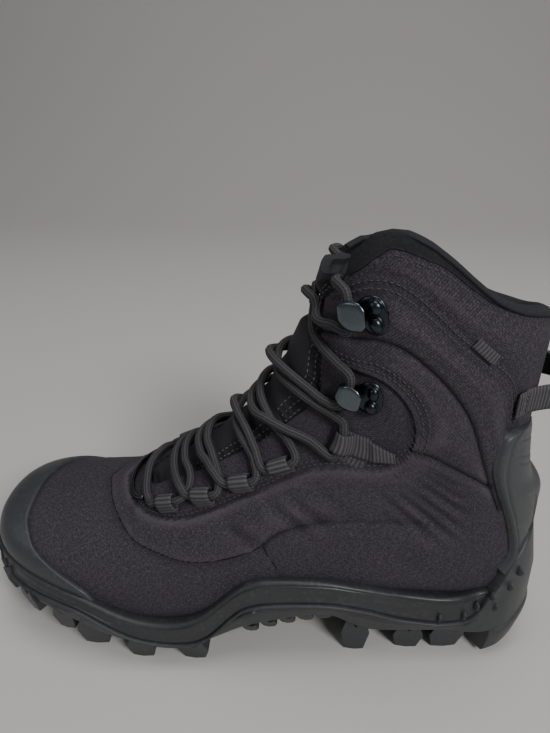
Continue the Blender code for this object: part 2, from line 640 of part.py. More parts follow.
def outsole_body(name, grow, made_of=None, proud=0.0):
    """The outsole's outline without lugs, filled inside, grown all round by grow and its side by proud."""
    cup = back_of_heel(PLACES, CUP_FROM, CUP_FULL)
    kick = HEEL_KICK * back_of_heel(PLACES, 1.0, 0.2) + proud
    top = sole_height(LINE, PLACES) * (1 - cup) + sole_height(EDGE, PLACES) * cup - GAP
    base = sole_height(BASE, PLACES)
    rand = OUTSOLE_RAND - CUP_THIN * cup + proud * 0.7
    drawn = drawn_in(PLACES)
    edge, bevel, full = BEVEL_HEIGHTS
    rings = [
        inner_ring(PLACES, 0.0, BASE, -grow),
        inner_ring(PLACES, 0.75, BASE, -grow),
        side_ring(PLACES, base + edge - grow, FOOT_PROUD + kick - drawn + grow),
        side_ring(PLACES, base + bevel, BEVEL_PROUD + kick - 0.8 * drawn + grow),
        side_ring(
            PLACES, np.minimum(base + full, top - 0.6) * 0.75 + 0.25 * top, OUTSOLE_RAND + kick - 0.4 * drawn + grow
        ),
        side_ring(PLACES, top - 0.3 * (top - base) * cup + grow, rand + kick * 0.3 + grow),
        side_ring(PLACES, top + grow, rand - 1.0 * cup + grow),
        side_ring(PLACES, top + 0.5 + grow, -3.0),
        inner_ring(PLACES, 0.0, LINE, 2.0 + grow),
    ]
    return body(name, *loft(rings), made_of)


midsole = midsole_body("midsole", 0.0, FOAM)
boolean(midsole, last_body("upper_on_midsole", GAP), "DIFFERENCE")
outsole = outsole_body("outsole", 0.0, RUBBER)


def side_place(x, inner):
    """The place on a straight side of the outline at an x."""
    share = (x - SPINE_HEEL[0]) / (SPINE_TOE[0] - SPINE_HEEL[0])
    return 5 - share if inner else 1 + share


# A side lug's face: across as a share of its width, up as a share of its height, and how far it stands out.
LUG_OUTLINE = [(-0.36, 0, -3.0), (0.36, 0, -3.0), (0.5, 0.55, -0.6), (0.3, 1, 0.6), (0, 0.72, 0.2)]
LUG_OUTLINE += [(-0.3, 1, 0.6), (-0.5, 0.55, -0.6)]
LUG_DEPTH = 15.0  # how far the side lugs reach in under the sole
LUG_PROUD = 1.2  # how far their face stands out from the outsole's side
LUG_DRAWN = 1.15  # and how much more than the foot of the sole they are drawn in
TOE_LUG = (12.0, 9.0)  # width and reach of the toe's lugs
CENTRE_Y, CENTRE_LUG = 2.0, (6.0, 4.0, 8.0, 7.0)  # a chevron's middle line, and its x and y reaches
ARCH_LUG_Y, ARCH_LUG = 33.0, (3.6, 4.0)
LUG_ROOT = 2.5  # how far the lugs under the sole reach into it
HEEL_BLOCK_TO = 0.66  # place where the heel's corner block ends


def side_lug(name, place, width, reach, base, tread):
    """A lug at the sole's edge: flat on the ground, and with two points that climb the side."""
    outline = LUG_OUTLINE
    centre, direction = compass(np.array([place]))
    centre, direction = centre[0], direction[0]
    tangent = np.array([-direction[1], direction[0]])
    kick = HEEL_KICK * back_of_heel(np.array([place]), 1.0, 0.2)[0]
    face = radius_at(np.array([place]), np.array([30.0]))[0] + OUTSOLE_RAND + LUG_PROUD + kick
    face -= LUG_DRAWN * drawn_in(np.array([place]))[0]
    rings = []
    for inward, rise_up in ((LUG_DEPTH, 2.0), (0.0, reach)):
        ring = []
        for across, up, proud in outline:
            away = face - inward + (proud if inward == 0.0 else 0.0)
            flat = centre + direction * away + tangent * width * across
            ring.append([*flat, tread + (up if inward == 0.0 else min(up, 0.72)) * (base + rise_up - tread)])
        rings.append(np.array(ring))
    return body(name, *capped(rings))


def block(name, corners, low, high, taper):
    """A lug with straight sides: corners of its top, its two heights, and its foot drawn in by taper."""
    corners = np.asarray(corners, float)
    middle = corners.mean(0)
    foot = middle + (corners - middle) * taper
    levels = ((foot, low), (corners, high))
    rings = [np.column_stack([flat, np.full(len(flat), height)]) for flat, height in levels]
    return body(name, *capped(rings))


def height_at(column, x):
    return np.interp(x, SOLE[:, 0], SOLE[:, column])


def lugs():
    """All lugs, as cutters that are joined to the outsole."""
    made = []
    for inner in (False, True):
        for x, width, reach in SIDE_LUGS:
            base, tread = height_at(BASE, x), height_at(TREAD, x)
            made.append(side_lug("side_lug", side_place(x, inner), width, reach, base, tread))
        for angle in TOE_LUGS:
            place = 4 - angle / 90 if inner else 2 + angle / 90
            x = compass(np.array([place]))[0][0, 0] + 52 * compass(np.array([place]))[1][0, 0]
            base, tread = height_at(BASE, x), height_at(TREAD, x)
            made.append(side_lug("toe_lug", place, *TOE_LUG, base, tread))
        sign = 1 if inner else -1
        for x in CENTRE_LUGS:
            y = CENTRE_Y + sign * 15
            back, shoulder, nose, half = CENTRE_LUG
            shape = [(x - back, y - half), (x + shoulder, y - half), (x + nose, y)]
            shape += [(x + shoulder, y + half), (x - back, y + half), (x - back + shoulder, y)]
            made.append(block("centre_lug", shape, height_at(TREAD, x), height_at(BASE, x) + LUG_ROOT, 0.84))
        for x in ARCH_LUGS:
            y = sign * ARCH_LUG_Y
            long, wide = ARCH_LUG
            shape = [(x - long, y - wide), (x + long, y - wide), (x + long, y + wide), (x - long, y + wide)]
            made.append(block("arch_lug", shape, height_at(TREAD, x), height_at(BASE, x) + LUG_ROOT, 0.9))
        rings = []
        for place in np.linspace(0.05, HEEL_BLOCK_TO, 6):
            centre, direction = (part[0] for part in compass(np.array([6 - place if inner else place])))
            kick = HEEL_KICK * back_of_heel(np.array([place]), 1.0, 0.2)[0]
            face = radius_at(np.array([place]), np.array([30.0]))[0] + OUTSOLE_RAND + kick
            face -= drawn_in(np.array([place]))[0]
            x = (centre + direction * face)[0]
            low, high = height_at(TREAD, x), height_at(BASE, x)
            ring = [(face - 18, low), (face - 2.5, low), (face + 0.8, high), (face + 0.2, high + 6)]
            ring.append((face - 18, high + 2))
            rings.append(np.array([[*(centre + direction * away), height] for away, height in ring]))
        made.append(body("heel_block", *capped(rings)))
    return made


tread = bpy.data.collections.new("tread")
bpy.context.scene.collection.children.link(tread)
for lug in lugs():
    collection("cutters").objects.unlink(lug)
    tread.objects.link(lug)
joined = outsole.modifiers.new("tread", "BOOLEAN")
joined.operation = "UNION"
joined.solver = "EXACT"
joined.operand_type = "COLLECTION"
joined.collection = tread
boolean(outsole, midsole_body("midsole_in_outsole", GAP), "DIFFERENCE")
boolean(outsole, last_body("upper_on_outsole", GAP), "DIFFERENCE")
for cut_piece in (outsole, midsole):
    merge_flat_faces(cut_piece)

# ---------------------------------------------------------------- toe bumper and heel counter


# The bumper's edge: turn, and how far back it reaches as a row.
BUMPER = np.array(
    [
        # turn, row
        [0.0, 4.2],
        [0.35, 4.0],
        [0.5, 3.6],
        [0.57, 3.0],
        [0.64, 2.56],
        [0.78, 2.25],
        [1.0, 2.2],
        [1.2, 2.35],
        [1.34, 2.7],
        [1.45, 3.3],
        [1.54, 4.0],
        [1.66, 4.5],
        [2.0, 4.6],
    ]
)
BUMPER_LIFT = 3.2
BUMPER_SIDE = np.linspace(0.14, 0.92, 9)  # turns of the bumper's columns on the outer side

# The counter's half width, as a turn, and how much of the kick ridge is there, at rows up the heel.
COUNTER = np.array(
    [
        # row, half width, ridge
        [9.7, 0.325, 0.0],
        [10.2, 0.297, 0.0],
        [10.6, 0.297, 0.0],
        [10.9, 0.308, 0.25],
        [11.2, 0.322, 0.5],
        [11.45, 0.335, 0.75],
        [11.75, 0.343, 1.0],
        [12.0, 0.341, 0.15],
        [12.35, 0.322, 0.0],
        [12.7, 0.29, 0.0],
        [12.95, 0.21, 0.0],
        [13.05, 0.11, 0.0],
    ]
)
COUNTER_LIFT = 2.6
COUNTER_RIM = 0.9  # how far the counter's edge stands out more
COUNTER_OVER_SOLE = 9.0
SPUR_HALF, SPUR_DEPTH = 0.3, 5.5  # the kick ridge: its half width as a turn, and how far it stands out


def thick_patch(name, rows, turns, lift, over_sole=0.0):
    """A filled cap over a part of the last: rows (n, m) and turns (n, m), standing out by lift (n, m). The
    sole's bodies are widened by over_sole where the cap stops at their top edge."""
    made = shell(name, [(rows, turns, lift, np.full(rows.shape, -2.5))], RUBBER)
    boolean(made, last_body("upper_on_" + name, GAP), "DIFFERENCE")
    for proud in sorted({0.0, over_sole}):
        boolean(made, midsole_body("midsole_on_" + name, GAP, proud=proud), "DIFFERENCE")
        boolean(made, outsole_body("outsole_on_" + name, GAP, proud=proud), "DIFFERENCE")
    merge_flat_faces(made)


def bumper():
    turns = np.concatenate([BUMPER_SIDE, [1.0], (2 - BUMPER_SIDE)[::-1]])
    share = np.array([0.0, 0.12, 0.3, 0.5, 0.7, 0.86, 0.97, 1.0])
    rows = share[:, None] * np.interp(turns, BUMPER[:, 0], BUMPER[:, 1])
    lift = BUMPER_LIFT - np.interp(share, [0.5, 0.7, 0.86, 0.97, 1.0], [0.0, 0.2, 0.5, 1.0, 1.8])
    turns, lift = np.broadcast_arrays(turns[None, :], lift[:, None])
    thick_patch("toe_bumper", rows, turns, lift)


def counter():
    rows, half, ridge = COUNTER.T
    share = np.array([-1, -0.93, -0.75, -0.5, -0.25, 0, 0.25, 0.5, 0.75, 0.93, 1])
    turns = half[:, None] * share
    rim = COUNTER_RIM * smooth((np.abs(share) - 0.85) / 0.08) - 1.5 * (np.abs(share) > 0.98)
    lift = COUNTER_LIFT + rim[None, :] + SPUR_DEPTH * ridge[:, None] * smooth(1 - np.abs(turns) / SPUR_HALF)
    lift[-1] -= 1.2
    grid = np.repeat(rows[:, None], len(share), 1)
    thick_patch("heel_counter", grid, np.mod(turns, 2.0), lift, COUNTER_OVER_SOLE)


bumper()
counter()

# ---------------------------------------------------------------- webbing and hooks

TAPE_HALF = 5.0  # half width of a lace loop's tape
STRAP_HALF = 4.8
STRAP_LENGTH = 26.0
STRAP_FLAT, STRAP_RISE = 12.5, 1.3  # where the strap climbs onto the panel round the band, and how far
LOOP_PASS = 7.3  # half the lace's straight length in a loop
BAND_LIFT = 2.7  # the lace's centre over the last, in the loops
FOLD_EASE = 0.3  # more room between the lace and what is folded round it
HOOK_PLATE = 1.2  # thickness of the hooks' sheet metal
RIVET = [(2.9, 0.0), (2.8, 1.2), (2.0, 1.9), (0.8, 2.2)]  # a rivet head's radii and heights
RING_RADIUS = 1.2  # the rod round the throat's front end

# The lace's stations on each side, from the front: row and turn from the ridge.
LOOPS = [(5.09, 0.186), (5.8, 0.221), (6.52, 0.246), (7.29, 0.266)]
STRAP = (8.9, 0.305)
STRAP_END = (10.15, 0.427)
# Each hook: row and turn from the ridge of its plate's middle, the same of its rivets, and the ground's lift.
HOOKS = [(10.86, 0.306, 11.22, 0.356, -FACING_STEP), (13.37, 0.306, 13.50, 0.356, 0.0)]
LACE_LINE = -3.0  # the lace's place in a hook, from the plate's middle
HOOK_PASS = 7.2  # half the lace's straight length there
RIVET_PLACE = 2.9  # how far the two rivets lie from the middle


def local_map(row, turn, row_to, turn_to):
    """A map to points in millimetres from a place on the last, where u runs towards a second place, v runs
    square to it up the boot, and lift stands off the surface."""
    along = (last_point(row + 0.05, turn) - last_point(row - 0.05, turn)) / 0.1
    around = (last_point(row, turn + 0.005) - last_point(row, turn - 0.005)) / 0.01
    steps = np.linalg.pinv(np.column_stack([along, around]))
    e1 = last_point(row_to, turn_to) - last_point(row, turn)
    out = normal(row, turn)
    e1 = e1 - out * e1.dot(out)
    e1 = e1 / np.linalg.norm(e1)
    e2 = np.cross(out, e1)
    e2 = e2 * np.sign(e2.dot(along))

    def at(u, v, lift):
        u, v, lift = np.broadcast_arrays(*(np.asarray(part, float) for part in (u, v, lift)))
        shift = (u[..., None] * e1 + v[..., None] * e2) @ steps.T
        return skin(row + shift[..., 0], turn + shift[..., 1], lift)

    return at


def ribbon(name, at, path, half, thick, made_of):
    """A strip of sheet through path, a run of (u, lift), whose half width in v is half."""
    path = np.asarray(path, float)
    along = np.gradient(path, axis=0)
    along = along / np.linalg.norm(along, axis=1, keepdims=True)
    side = np.column_stack([-along[:, 1], along[:, 0]]) * thick / 2
    half = np.broadcast_to(half, len(path))
    rings = []
    for (u, lift), (du, dl), h in zip(path, side, half):
        places, lifts = [u + du, u + du, u - du, u - du], [lift + dl, lift + dl, lift - dl, lift - dl]
        rings.append(at(places, [-h, h, h, -h], lifts))
    return body(name, *capped(rings), made_of)


def folded_tape(name, at, tail, half, rise=0.0):
    """A tape folded round the lace: out along the band, round the lace, and back over itself. Past STRAP_FLAT
    it lies higher by rise."""
    radius = LACE_RADIUS + GAP + FOLD_EASE + WEBBING / 2
    low = BAND_LIFT - radius
    angles = np.radians([-90, -130, -170, 150, 110, 75, 45])
    ring = [(radius * np.cos(a), BAND_LIFT + radius * np.sin(a)) for a in angles]
    high = low + WEBBING + 0.3
    far = np.linspace(tail, 0, max(2, round(tail / 5) + 1))[:-1]
    higher = rise * smooth((far - STRAP_FLAT) / 3.0)
    start = [(u, low + more) for u, more in zip(far, higher)]
    back = [(u, high + more) for u, more in zip(far[::-1], higher[::-1]) if u > 4.4 or u == tail]
    return ribbon(name, at, start + ring + back, half, WEBBING, TAPE)


def mirrored(turn, inner):
    """The turn on either side at a distance from the ridge."""
    return 1 + turn if inner else 1 - turn


def loop_map(level, inner):
    """The local map of a lace loop, with u down the side, or of a strap, with u along it."""
    row, turn = (LOOPS + [STRAP])[level]
    row_to, turn_to = (row, turn + 0.1) if level < len(LOOPS) else STRAP_END
    return local_map(row, mirrored(turn, inner), row_to, mirrored(turn_to, inner))


def loops_and_straps():
    for inner, side in ((False, "lateral"), (True, "medial")):
        for number, (row, turn) in enumerate(LOOPS):
            step = mirrored(panel_edge(np.array(row)) - 0.006, inner)
            room = np.linalg.norm(last_point(row, step) - last_point(row, mirrored(turn, inner)))
            folded_tape(f"lace_loop_{side}_{number + 1}", loop_map(number, inner), room - 1.8, TAPE_HALF)
        at = loop_map(len(LOOPS), inner)
        folded_tape(f"ankle_strap_{side}", at, STRAP_LENGTH, STRAP_HALF, STRAP_RISE)


def hook(name, at, length, ground):
    """A speed hook: a riveted base whose end curls out and back over the lace."""
    base = ground + GAP + HOOK_PLATE / 2
    radius = LACE_RADIUS + GAP + FOLD_EASE + HOOK_PLATE / 2
    centre = base + radius
    curl = np.radians([-90, -140, 180, 140, 90])
    bend = [(LACE_LINE + radius * np.cos(a), centre + radius * np.sin(a)) for a in curl]
    path = [(length + 4.2, base), (length + 3, base), (length, base), (length / 2, base)] + bend
    path += [(1.5, centre + radius), (5.0, centre + radius + 0.2)]
    half = [2.2, 4.6, 5.6, 5.0, 3.8, 3.2, 3.2, 3.4, 4.4, 6.0, 5.0]
    made = ribbon(name, at, path, half, HOOK_PLATE, METAL)
    round_it = np.radians(np.arange(0, 360, 45))
    for v in (-RIVET_PLACE, RIVET_PLACE):
        rings = [at(length + r * np.cos(round_it), v + r * np.sin(round_it), base + h) for r, h in RIVET]
        boolean(made, body("rivet", *capped(rings)), "UNION")


def hook_map(number, inner):
    """The local map at a hook's plate and the distance to its rivets."""
    row, turn, rivet_row, rivet_turn, _ = HOOKS[number]
    start, end = (row, mirrored(turn, inner)), (rivet_row, mirrored(rivet_turn, inner))
    return local_map(*start, *end), np.linalg.norm(last_point(*end) - last_point(*start))


def hooks():
    for inner, side in ((False, "lateral"), (True, "medial")):
        for number, place in enumerate(("lower", "upper")):
            at, length = hook_map(number, inner)
            hook(f"lace_hook_{side}_{place}", at, length, HOOKS[number][4])


loops_and_straps()
hooks()

# ---------------------------------------------------------------- the lace

# Points of the lace between its loops and hooks: row, turn from the ridge towards the outer side, and lift.
FRONT = [(4.73, 0.162, 2.2), (4.6, 0.105, 2.8), (4.53, 0.0, 3.6), (4.6, -0.105, 2.8), (4.73, -0.162, 2.2)]
# From an inner loop up and across to the next outer one, lying on top where two strands cross.
OUTWARD = [
    [(5.34, -0.15, 1.8), (5.2, -0.08, 3.4), (5.13, 0.0, 3.9), (5.2, 0.07, 4.4), (5.33, 0.13, 5.2)]
    + [(5.46, 0.174, 5.7)],
    [(6.1, -0.195, 1.8), (5.95, -0.14, 2.4), (5.75, -0.08, 3.5), (5.66, 0.0, 4.0), (5.82, 0.089, 4.6)]
    + [(6.0, 0.14, 5.2), (6.13, 0.183, 5.7)],
    [(6.84, -0.215, 1.8), (6.73, -0.165, 2.0), (6.61, -0.11, 3.4), (6.6, -0.05, 6.1), (6.66, 0.0, 7.8)]
    + [(6.74, 0.05, 6.2), (6.86, 0.121, 4.0), (6.92, 0.19, 2.4)],
    [(7.64, -0.235, 1.8), (7.46, -0.185, 1.8), (7.22, -0.12, 3.4), (7.06, -0.02, 3.9), (7.1, 0.06, 4.8)]
    + [(7.27, 0.118, 6.1), (7.48, 0.158, 6.0), (7.75, 0.21, 4.0), (8.1, 0.262, 2.4)],
    [(9.34, -0.265, 2.0), (9.02, -0.22, 2.0), (8.7, -0.17, 2.6), (8.28, -0.1, 4.2), (8.22, -0.04, 6.8)]
    + [(8.36, 0.01, 7.8), (8.55, 0.06, 6.4), (8.82, 0.12, 4.4), (9.15, 0.185, 3.0), (9.45, 0.235, 2.6)],
    [(11.45, -0.25, 2.4), (11.3, -0.19, 1.4), (11.3, -0.125, 0.2), (11.65, -0.085, -0.4)]
    + [(12.12, -0.055, 0.8), (12.33, -0.03, 2.8), (12.5, 0.0, 3.8), (12.62, 0.03, 2.8)]
    + [(12.62, 0.065, 0.7), (12.35, 0.1, 0.1), (12.25, 0.135, 2.1), (12.4, 0.175, 2.9), (12.7, 0.225, 3.0)],
]
# From an outer loop up and across to the next inner one, lying underneath.
INWARD = [
    [(5.47, 0.178, 1.3), (5.53, 0.145, 1.3), (5.5, 0.11, 2.0), (5.42, 0.07, 3.4), (5.34, 0.0, 3.6)]
    + [(5.38, -0.07, 3.6), (5.45, -0.14, 2.4)],
    [(6.12, 0.2, 1.6), (6.09, 0.17, 1.2), (6.05, 0.14, 1.5), (6.02, 0.109, 2.5), (5.9, 0.04, 3.6)]
    + [(5.86, -0.03, 3.6), (5.95, -0.09, 3.6), (6.1, -0.17, 2.0)],
    [(6.84, 0.215, 1.8), (6.79, 0.18, 1.6), (6.7, 0.13, 2.8), (6.6, 0.06, 3.4), (6.62, 0.0, 3.4)]
    + [(6.74, -0.06, 3.4), (6.85, -0.13, 3.0), (6.92, -0.195, 2.0)],
    [(7.64, 0.238, 1.5), (7.55, 0.2, 1.3), (7.46, 0.165, 1.4), (7.43, 0.12, 3.2), (7.37, 0.05, 3.5)]
    + [(7.4, -0.03, 3.5), (7.55, -0.11, 3.4), (7.85, -0.19, 2.0), (8.12, -0.258, 2.2)],
    [(9.36, 0.27, 1.8), (9.0, 0.225, 1.6), (8.63, 0.166, 2.6), (8.28, 0.09, 3.4), (8.3, 0.02, 3.4)]
    + [(8.5, -0.05, 3.4), (8.85, -0.12, 3.4), (9.2, -0.185, 2.6), (9.45, -0.235, 2.6)],
    [(11.45, 0.25, 2.4), (11.3, 0.19, 1.4), (11.3, 0.125, 0.2), (11.65, 0.085, -0.4)]
    + [(12.12, 0.055, -0.7), (12.33, 0.03, -0.8), (12.5, 0.0, -0.8), (12.62, -0.03, -0.5)]
    + [(12.62, -0.065, -0.1), (12.35, -0.1, 0.0), (12.25, -0.135, 2.1), (12.4, -0.175, 2.9)]
    + [(12.7, -0.225, 3.0)],
]
# From the upper outer hook over the facing's corner and in under its edge.
END = [(14.0, 0.245, 3.4), (14.22, 0.204, 2.2), (14.35, 0.183, -0.8), (14.3, 0.179, -4.4)]
END += [(14.12, 0.205, -6.9), (13.9, 0.247, -7.1)]
LACE_STEP = 15.5  # longest stretch between the finished lace's points


def lace_points(rows):
    """Points of the lace from its rows of the tables."""
    return [skin(np.array(row), np.array(1 - across), lift) for row, across, lift in rows]


def passage(level, inner):
    """The lace's two points in a loop or hook: where it enters from below and leaves above."""
    if level > len(LOOPS):
        number = level - len(LOOPS) - 1
        at, _ = hook_map(number, inner)
        lift = HOOKS[number][4] + GAP + HOOK_PLATE + GAP + FOLD_EASE + LACE_RADIUS
        return [at(LACE_LINE, -HOOK_PASS, lift), at(LACE_LINE, HOOK_PASS, lift)]
    at = loop_map(level, inner)
    return [at(0.0, -LOOP_PASS, BAND_LIFT), at(0.0, LOOP_PASS, BAND_LIFT)]


def lace_side(inner):
    """The lace from the first loop on one side to its end at the other or the same side's top."""
    points = passage(0, inner)
    for level in range(len(LOOPS) + len(HOOKS)):
        points += lace_points((OUTWARD if inner else INWARD)[level])
        inner = not inner
        points += passage(level + 1, inner)
    return points + lace_points([(row, -across if inner else across, lift) for row, across, lift in END])


def rounded(points, step):
    """A smooth curve through points, with points between them where they lie more than a step apart."""
    points = np.array(points)
    ends = np.vstack([2 * points[0] - points[1], points, 2 * points[-1] - points[-2]])
    counts = np.ceil(np.linalg.norm(np.diff(points, axis=0), axis=1) / step).astype(int)
    spots = np.concatenate([n + np.arange(count) / count for n, count in enumerate(counts)])
    return np.vstack([hermite(ends, spots), points[-1]])


def rod(name, points, radius, made_of):
    """A closed tube through points, made from a curve."""
    curve = bpy.data.curves.new(name, "CURVE")
    curve.dimensions = "3D"
    curve.bevel_depth = radius * MM
    curve.bevel_resolution = 2
    curve.use_fill_caps = True
    line = curve.splines.new("POLY")
    line.points.add(len(points) - 1)
    line.points.foreach_set("co", np.column_stack([(points - ORIGIN) * MM, np.ones(len(points))]).ravel())
    curve.materials.append(made_of)
    obj = bpy.data.objects.new(name, curve)
    collection("tactical_boot").objects.link(obj)


lace_route = lace_side(False)[::-1] + lace_points(FRONT) + lace_side(True)
rod("lace", rounded(lace_route, LACE_STEP), LACE_RADIUS, CORD)

# ---------------------------------------------------------------- small trim

RING = [(4.55, 0.135), (4.35, 0.115), (4.2, 0.06), (4.16, 0.0), (4.2, -0.06), (4.35, -0.115), (4.55, -0.135)]
PULL_HEIGHT, PULL_HALF, PULL_THICK = 144.5, 6.2, 1.6
# The pull loop's outer half, seen from above: x and y, from where it leaves the shaft to its bight.
PULL_FREE = [(122.0, 20.5), (131.0, 17.5), (139.5, 13.0), (144.5, 7.0), (146.2, 0.0)]
PULL_SEAT = [109.5, 112.5, 115.5]  # x of the stitched end
TAG = (13.98, 0.389, 13.92, 0.359)  # row and turn of its middle, and of a place towards its rear
TAG_SIZE = (6.4, 2.3, 0.8)  # half length, half height and thickness


def throat_ring():
    points = lace_points([(row, across, GAP + RING_RADIUS + 0.5) for row, across in RING])
    rod("throat_ring", rounded(points, 5.0), RING_RADIUS, METAL)


def shaft_side(x, side):
    """y of the shaft's surface behind the pull loop at an x; side is -1 on the outer side, else 1."""
    heights = PULL_HEIGHT + PULL_HALF * np.linspace(-1, 1, 5)
    away = np.linspace(0, 60, 601)[:, None] + 0 * heights
    return side * 0.1 * inside_last(np.full(away.shape, x), side * away, heights + 0 * away).sum(0).max()


def pull_loop():
    """A tape sewn to both sides of the shaft that stands off its back as a handle."""
    lift = GAP + PULL_THICK / 2 + 0.5
    outer = [(x, shaft_side(x, -1) - lift) for x in PULL_SEAT] + [(x, -y) for x, y in PULL_FREE]
    inner = [(x, shaft_side(x, 1) + lift) for x in PULL_SEAT] + PULL_FREE[:-1]
    plan = np.array(outer + inner[::-1])
    along = np.gradient(plan, axis=0)
    side = np.column_stack([-along[:, 1], along[:, 0]]) / np.linalg.norm(along, axis=1, keepdims=True)
    rings = []
    for (x, y), (dx, dy) in zip(plan, side * PULL_THICK / 2):
        corners = [(x + dx, y + dy, -1), (x + dx, y + dy, 1), (x - dx, y - dy, 1), (x - dx, y - dy, -1)]
        rings.append(np.array([[a, b, PULL_HEIGHT + PULL_HALF * c] for a, b, c in corners]))
    body("pull_loop", *capped(rings), TAPE)


def side_tag():
    at = local_map(TAG[0], TAG[1], TAG[2], TAG[3])
    length, height, thick = TAG_SIZE
    ribbon("side_tag", at, [(u, GAP + thick / 2) for u in (-length, 0, length)], height, thick, TAPE)


throat_ring()
pull_loop()
side_tag()
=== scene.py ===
"""A laced, waterproof tactical boot for the left foot, standing on its sole.

The sections follow the boot as it is put together. Tables are in millimetres: the toe points along -X, the
outer side is -Y, and Z = 0 is the floor. A place on the last is a row, which counts its sections from the tip
of the toe to the top line, and a turn, which is 0 at the back or bottom, 1 on the ridge and 2 at the bottom
again, so that 0 to 1 is the outer side and 1 to 2 the inner one.
"""

import bmesh
import bpy
import numpy as np
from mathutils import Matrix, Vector


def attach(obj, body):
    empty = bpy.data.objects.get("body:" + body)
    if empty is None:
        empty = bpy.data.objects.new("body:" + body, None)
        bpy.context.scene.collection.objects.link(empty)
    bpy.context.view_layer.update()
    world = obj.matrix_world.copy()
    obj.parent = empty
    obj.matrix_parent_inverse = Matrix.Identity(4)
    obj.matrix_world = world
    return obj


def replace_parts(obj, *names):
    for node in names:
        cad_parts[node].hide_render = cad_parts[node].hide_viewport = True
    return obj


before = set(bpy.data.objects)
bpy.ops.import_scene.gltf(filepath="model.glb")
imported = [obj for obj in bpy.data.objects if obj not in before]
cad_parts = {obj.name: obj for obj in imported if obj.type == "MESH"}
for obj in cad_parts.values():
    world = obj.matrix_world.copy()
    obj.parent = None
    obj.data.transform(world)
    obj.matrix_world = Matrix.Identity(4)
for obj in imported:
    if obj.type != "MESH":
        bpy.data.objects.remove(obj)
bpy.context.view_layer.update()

# ---------------------------------------------------------------- the upper
# Woven nylon over wadding, cut in panels, sewn together and pulled over the last. The panels meet in seams
# with one or two rows of stitching beside them, a sunk band carries the lacing, and a padded cuff of soft
# knit is rolled over the top.

MM = 0.001
ORIGIN = np.array([-1.05, -0.75, 0.0])  # middle of the boot's footprint in the tables' own coordinates
GAP = 0.4
WALL, COLLAR_WALL = 3.0, 8.0
FACING_STEP = 1.2  # the lacing band lies this far below the panel round it

LAST = np.array(
    [
        # front x, z,  back x,  z,   mid, outer, inner, wide, low, high
        [-144.0, 47.5, -144.0, 47.5, 6.0, 0.0, 0.0, 0.50, 2.6, 2.1],  # tip
        [-139.5, 57.5, -138.0, 39.5, 6.0, 21.0, 20.0, 0.46, 2.8, 2.1],  # toe front
        [-127.0, 63.5, -123.0, 35.0, 5.5, 36.0, 33.5, 0.42, 3.4, 2.1],  # toe box
        [-102.0, 68.5, -98.0, 28.0, 4.0, 46.0, 42.0, 0.36, 4.0, 2.1],  # toe joint
        [-72.0, 74.5, -66.0, 20.5, 2.5, 51.0, 45.5, 0.32, 4.4, 2.1],  # ball
        [-46.0, 89.0, -36.0, 20.5, 1.0, 50.0, 43.0, 0.30, 4.4, 2.1],  # throat
        [-22.0, 107.0, -4.0, 28.0, 0.0, 46.0, 39.0, 0.30, 4.4, 2.2],  # waist
        [-2.0, 127.0, 36.0, 34.5, 0.0, 43.5, 38.5, 0.32, 4.2, 2.2],  # instep
        [9.0, 146.0, 84.0, 34.0, 0.0, 41.5, 38.5, 0.36, 4.0, 2.2],  # ankle bend
        [14.0, 157.0, 121.0, 33.0, 0.0, 39.5, 37.5, 0.40, 3.6, 2.3],  # heel seat
        [17.5, 165.0, 134.0, 47.0, 0.0, 38.5, 37.0, 0.44, 2.9, 2.4],  # heel foot
        [20.0, 172.0, 133.8, 70.0, 0.0, 38.5, 37.0, 0.48, 2.5, 2.4],  # heel bulge
        [22.5, 179.0, 128.5, 98.0, 0.0, 38.5, 37.5, 0.52, 2.3, 2.4],  # counter top
        [24.5, 186.0, 124.0, 128.0, 0.0, 38.0, 36.5, 0.54, 2.2, 2.4],  # tendon
        [26.0, 192.0, 124.0, 156.0, 0.0, 37.0, 33.5, 0.55, 2.2, 2.4],  # shaft
        [27.0, 197.0, 124.5, 183.0, 0.0, 35.5, 28.5, 0.55, 2.2, 2.4],  # top line
    ]
)
TOP = len(LAST) - 1.0
TOE_END, HEEL_END, OPEN_BELOW = 0.75, 9.6, 0.15  # the opening under the foot
THROAT_END, THROAT_ROUND = 4.35, 0.5
# The throat's edge, as a turn from the ridge, by row.
THROAT = np.array(
    [[4.35, 0.090], [4.9, 0.095], [5.7, 0.126], [6.8, 0.168], [7.5, 0.190], [8.3, 0.208], [9.3, 0.212]]
    + [[10.4, 0.185], [11.2, 0.168], [11.6, 0.163], [12.0, 0.155], [13.2, 0.135], [13.8, 0.180]]
    + [[14.3, 0.225], [15.0, 0.245]]
)
# The top line rises at the sides of the shaft: share of the way from back to front, and the rise.
TOP_LINE = np.array(
    [[0.0, 0.0], [0.2, 2.0], [0.32, 5.0], [0.45, 9.6], [0.6, 15.4], [0.7, 17.8], [0.76, 17.6], [0.82, 15.4]]
    + [[0.92, 6.0], [1.0, -2.0]]
)
TOP_LINE_FROM = 12.0
# The soft cuff stands higher at the outer front and lower at the inner back: turn, and how far at the top.
CUFF_SHIFT = np.array(
    [[0.0, -3.0], [0.1, -1.0], [0.2, 0.5], [0.36, 0.5], [0.42, 2.0], [0.48, 5.5], [0.54, 7.5], [0.62, 7.0]]
    + [[0.72, 6.0], [0.755, 3.0], [1.245, -5.0], [1.35, -9.0], [1.5, -6.5], [1.6, -4.5], [1.72, -8.5]]
    + [[1.86, -7.0], [2.0, -3.0]]
)
CUFF_SHIFT_FROM = 13.9


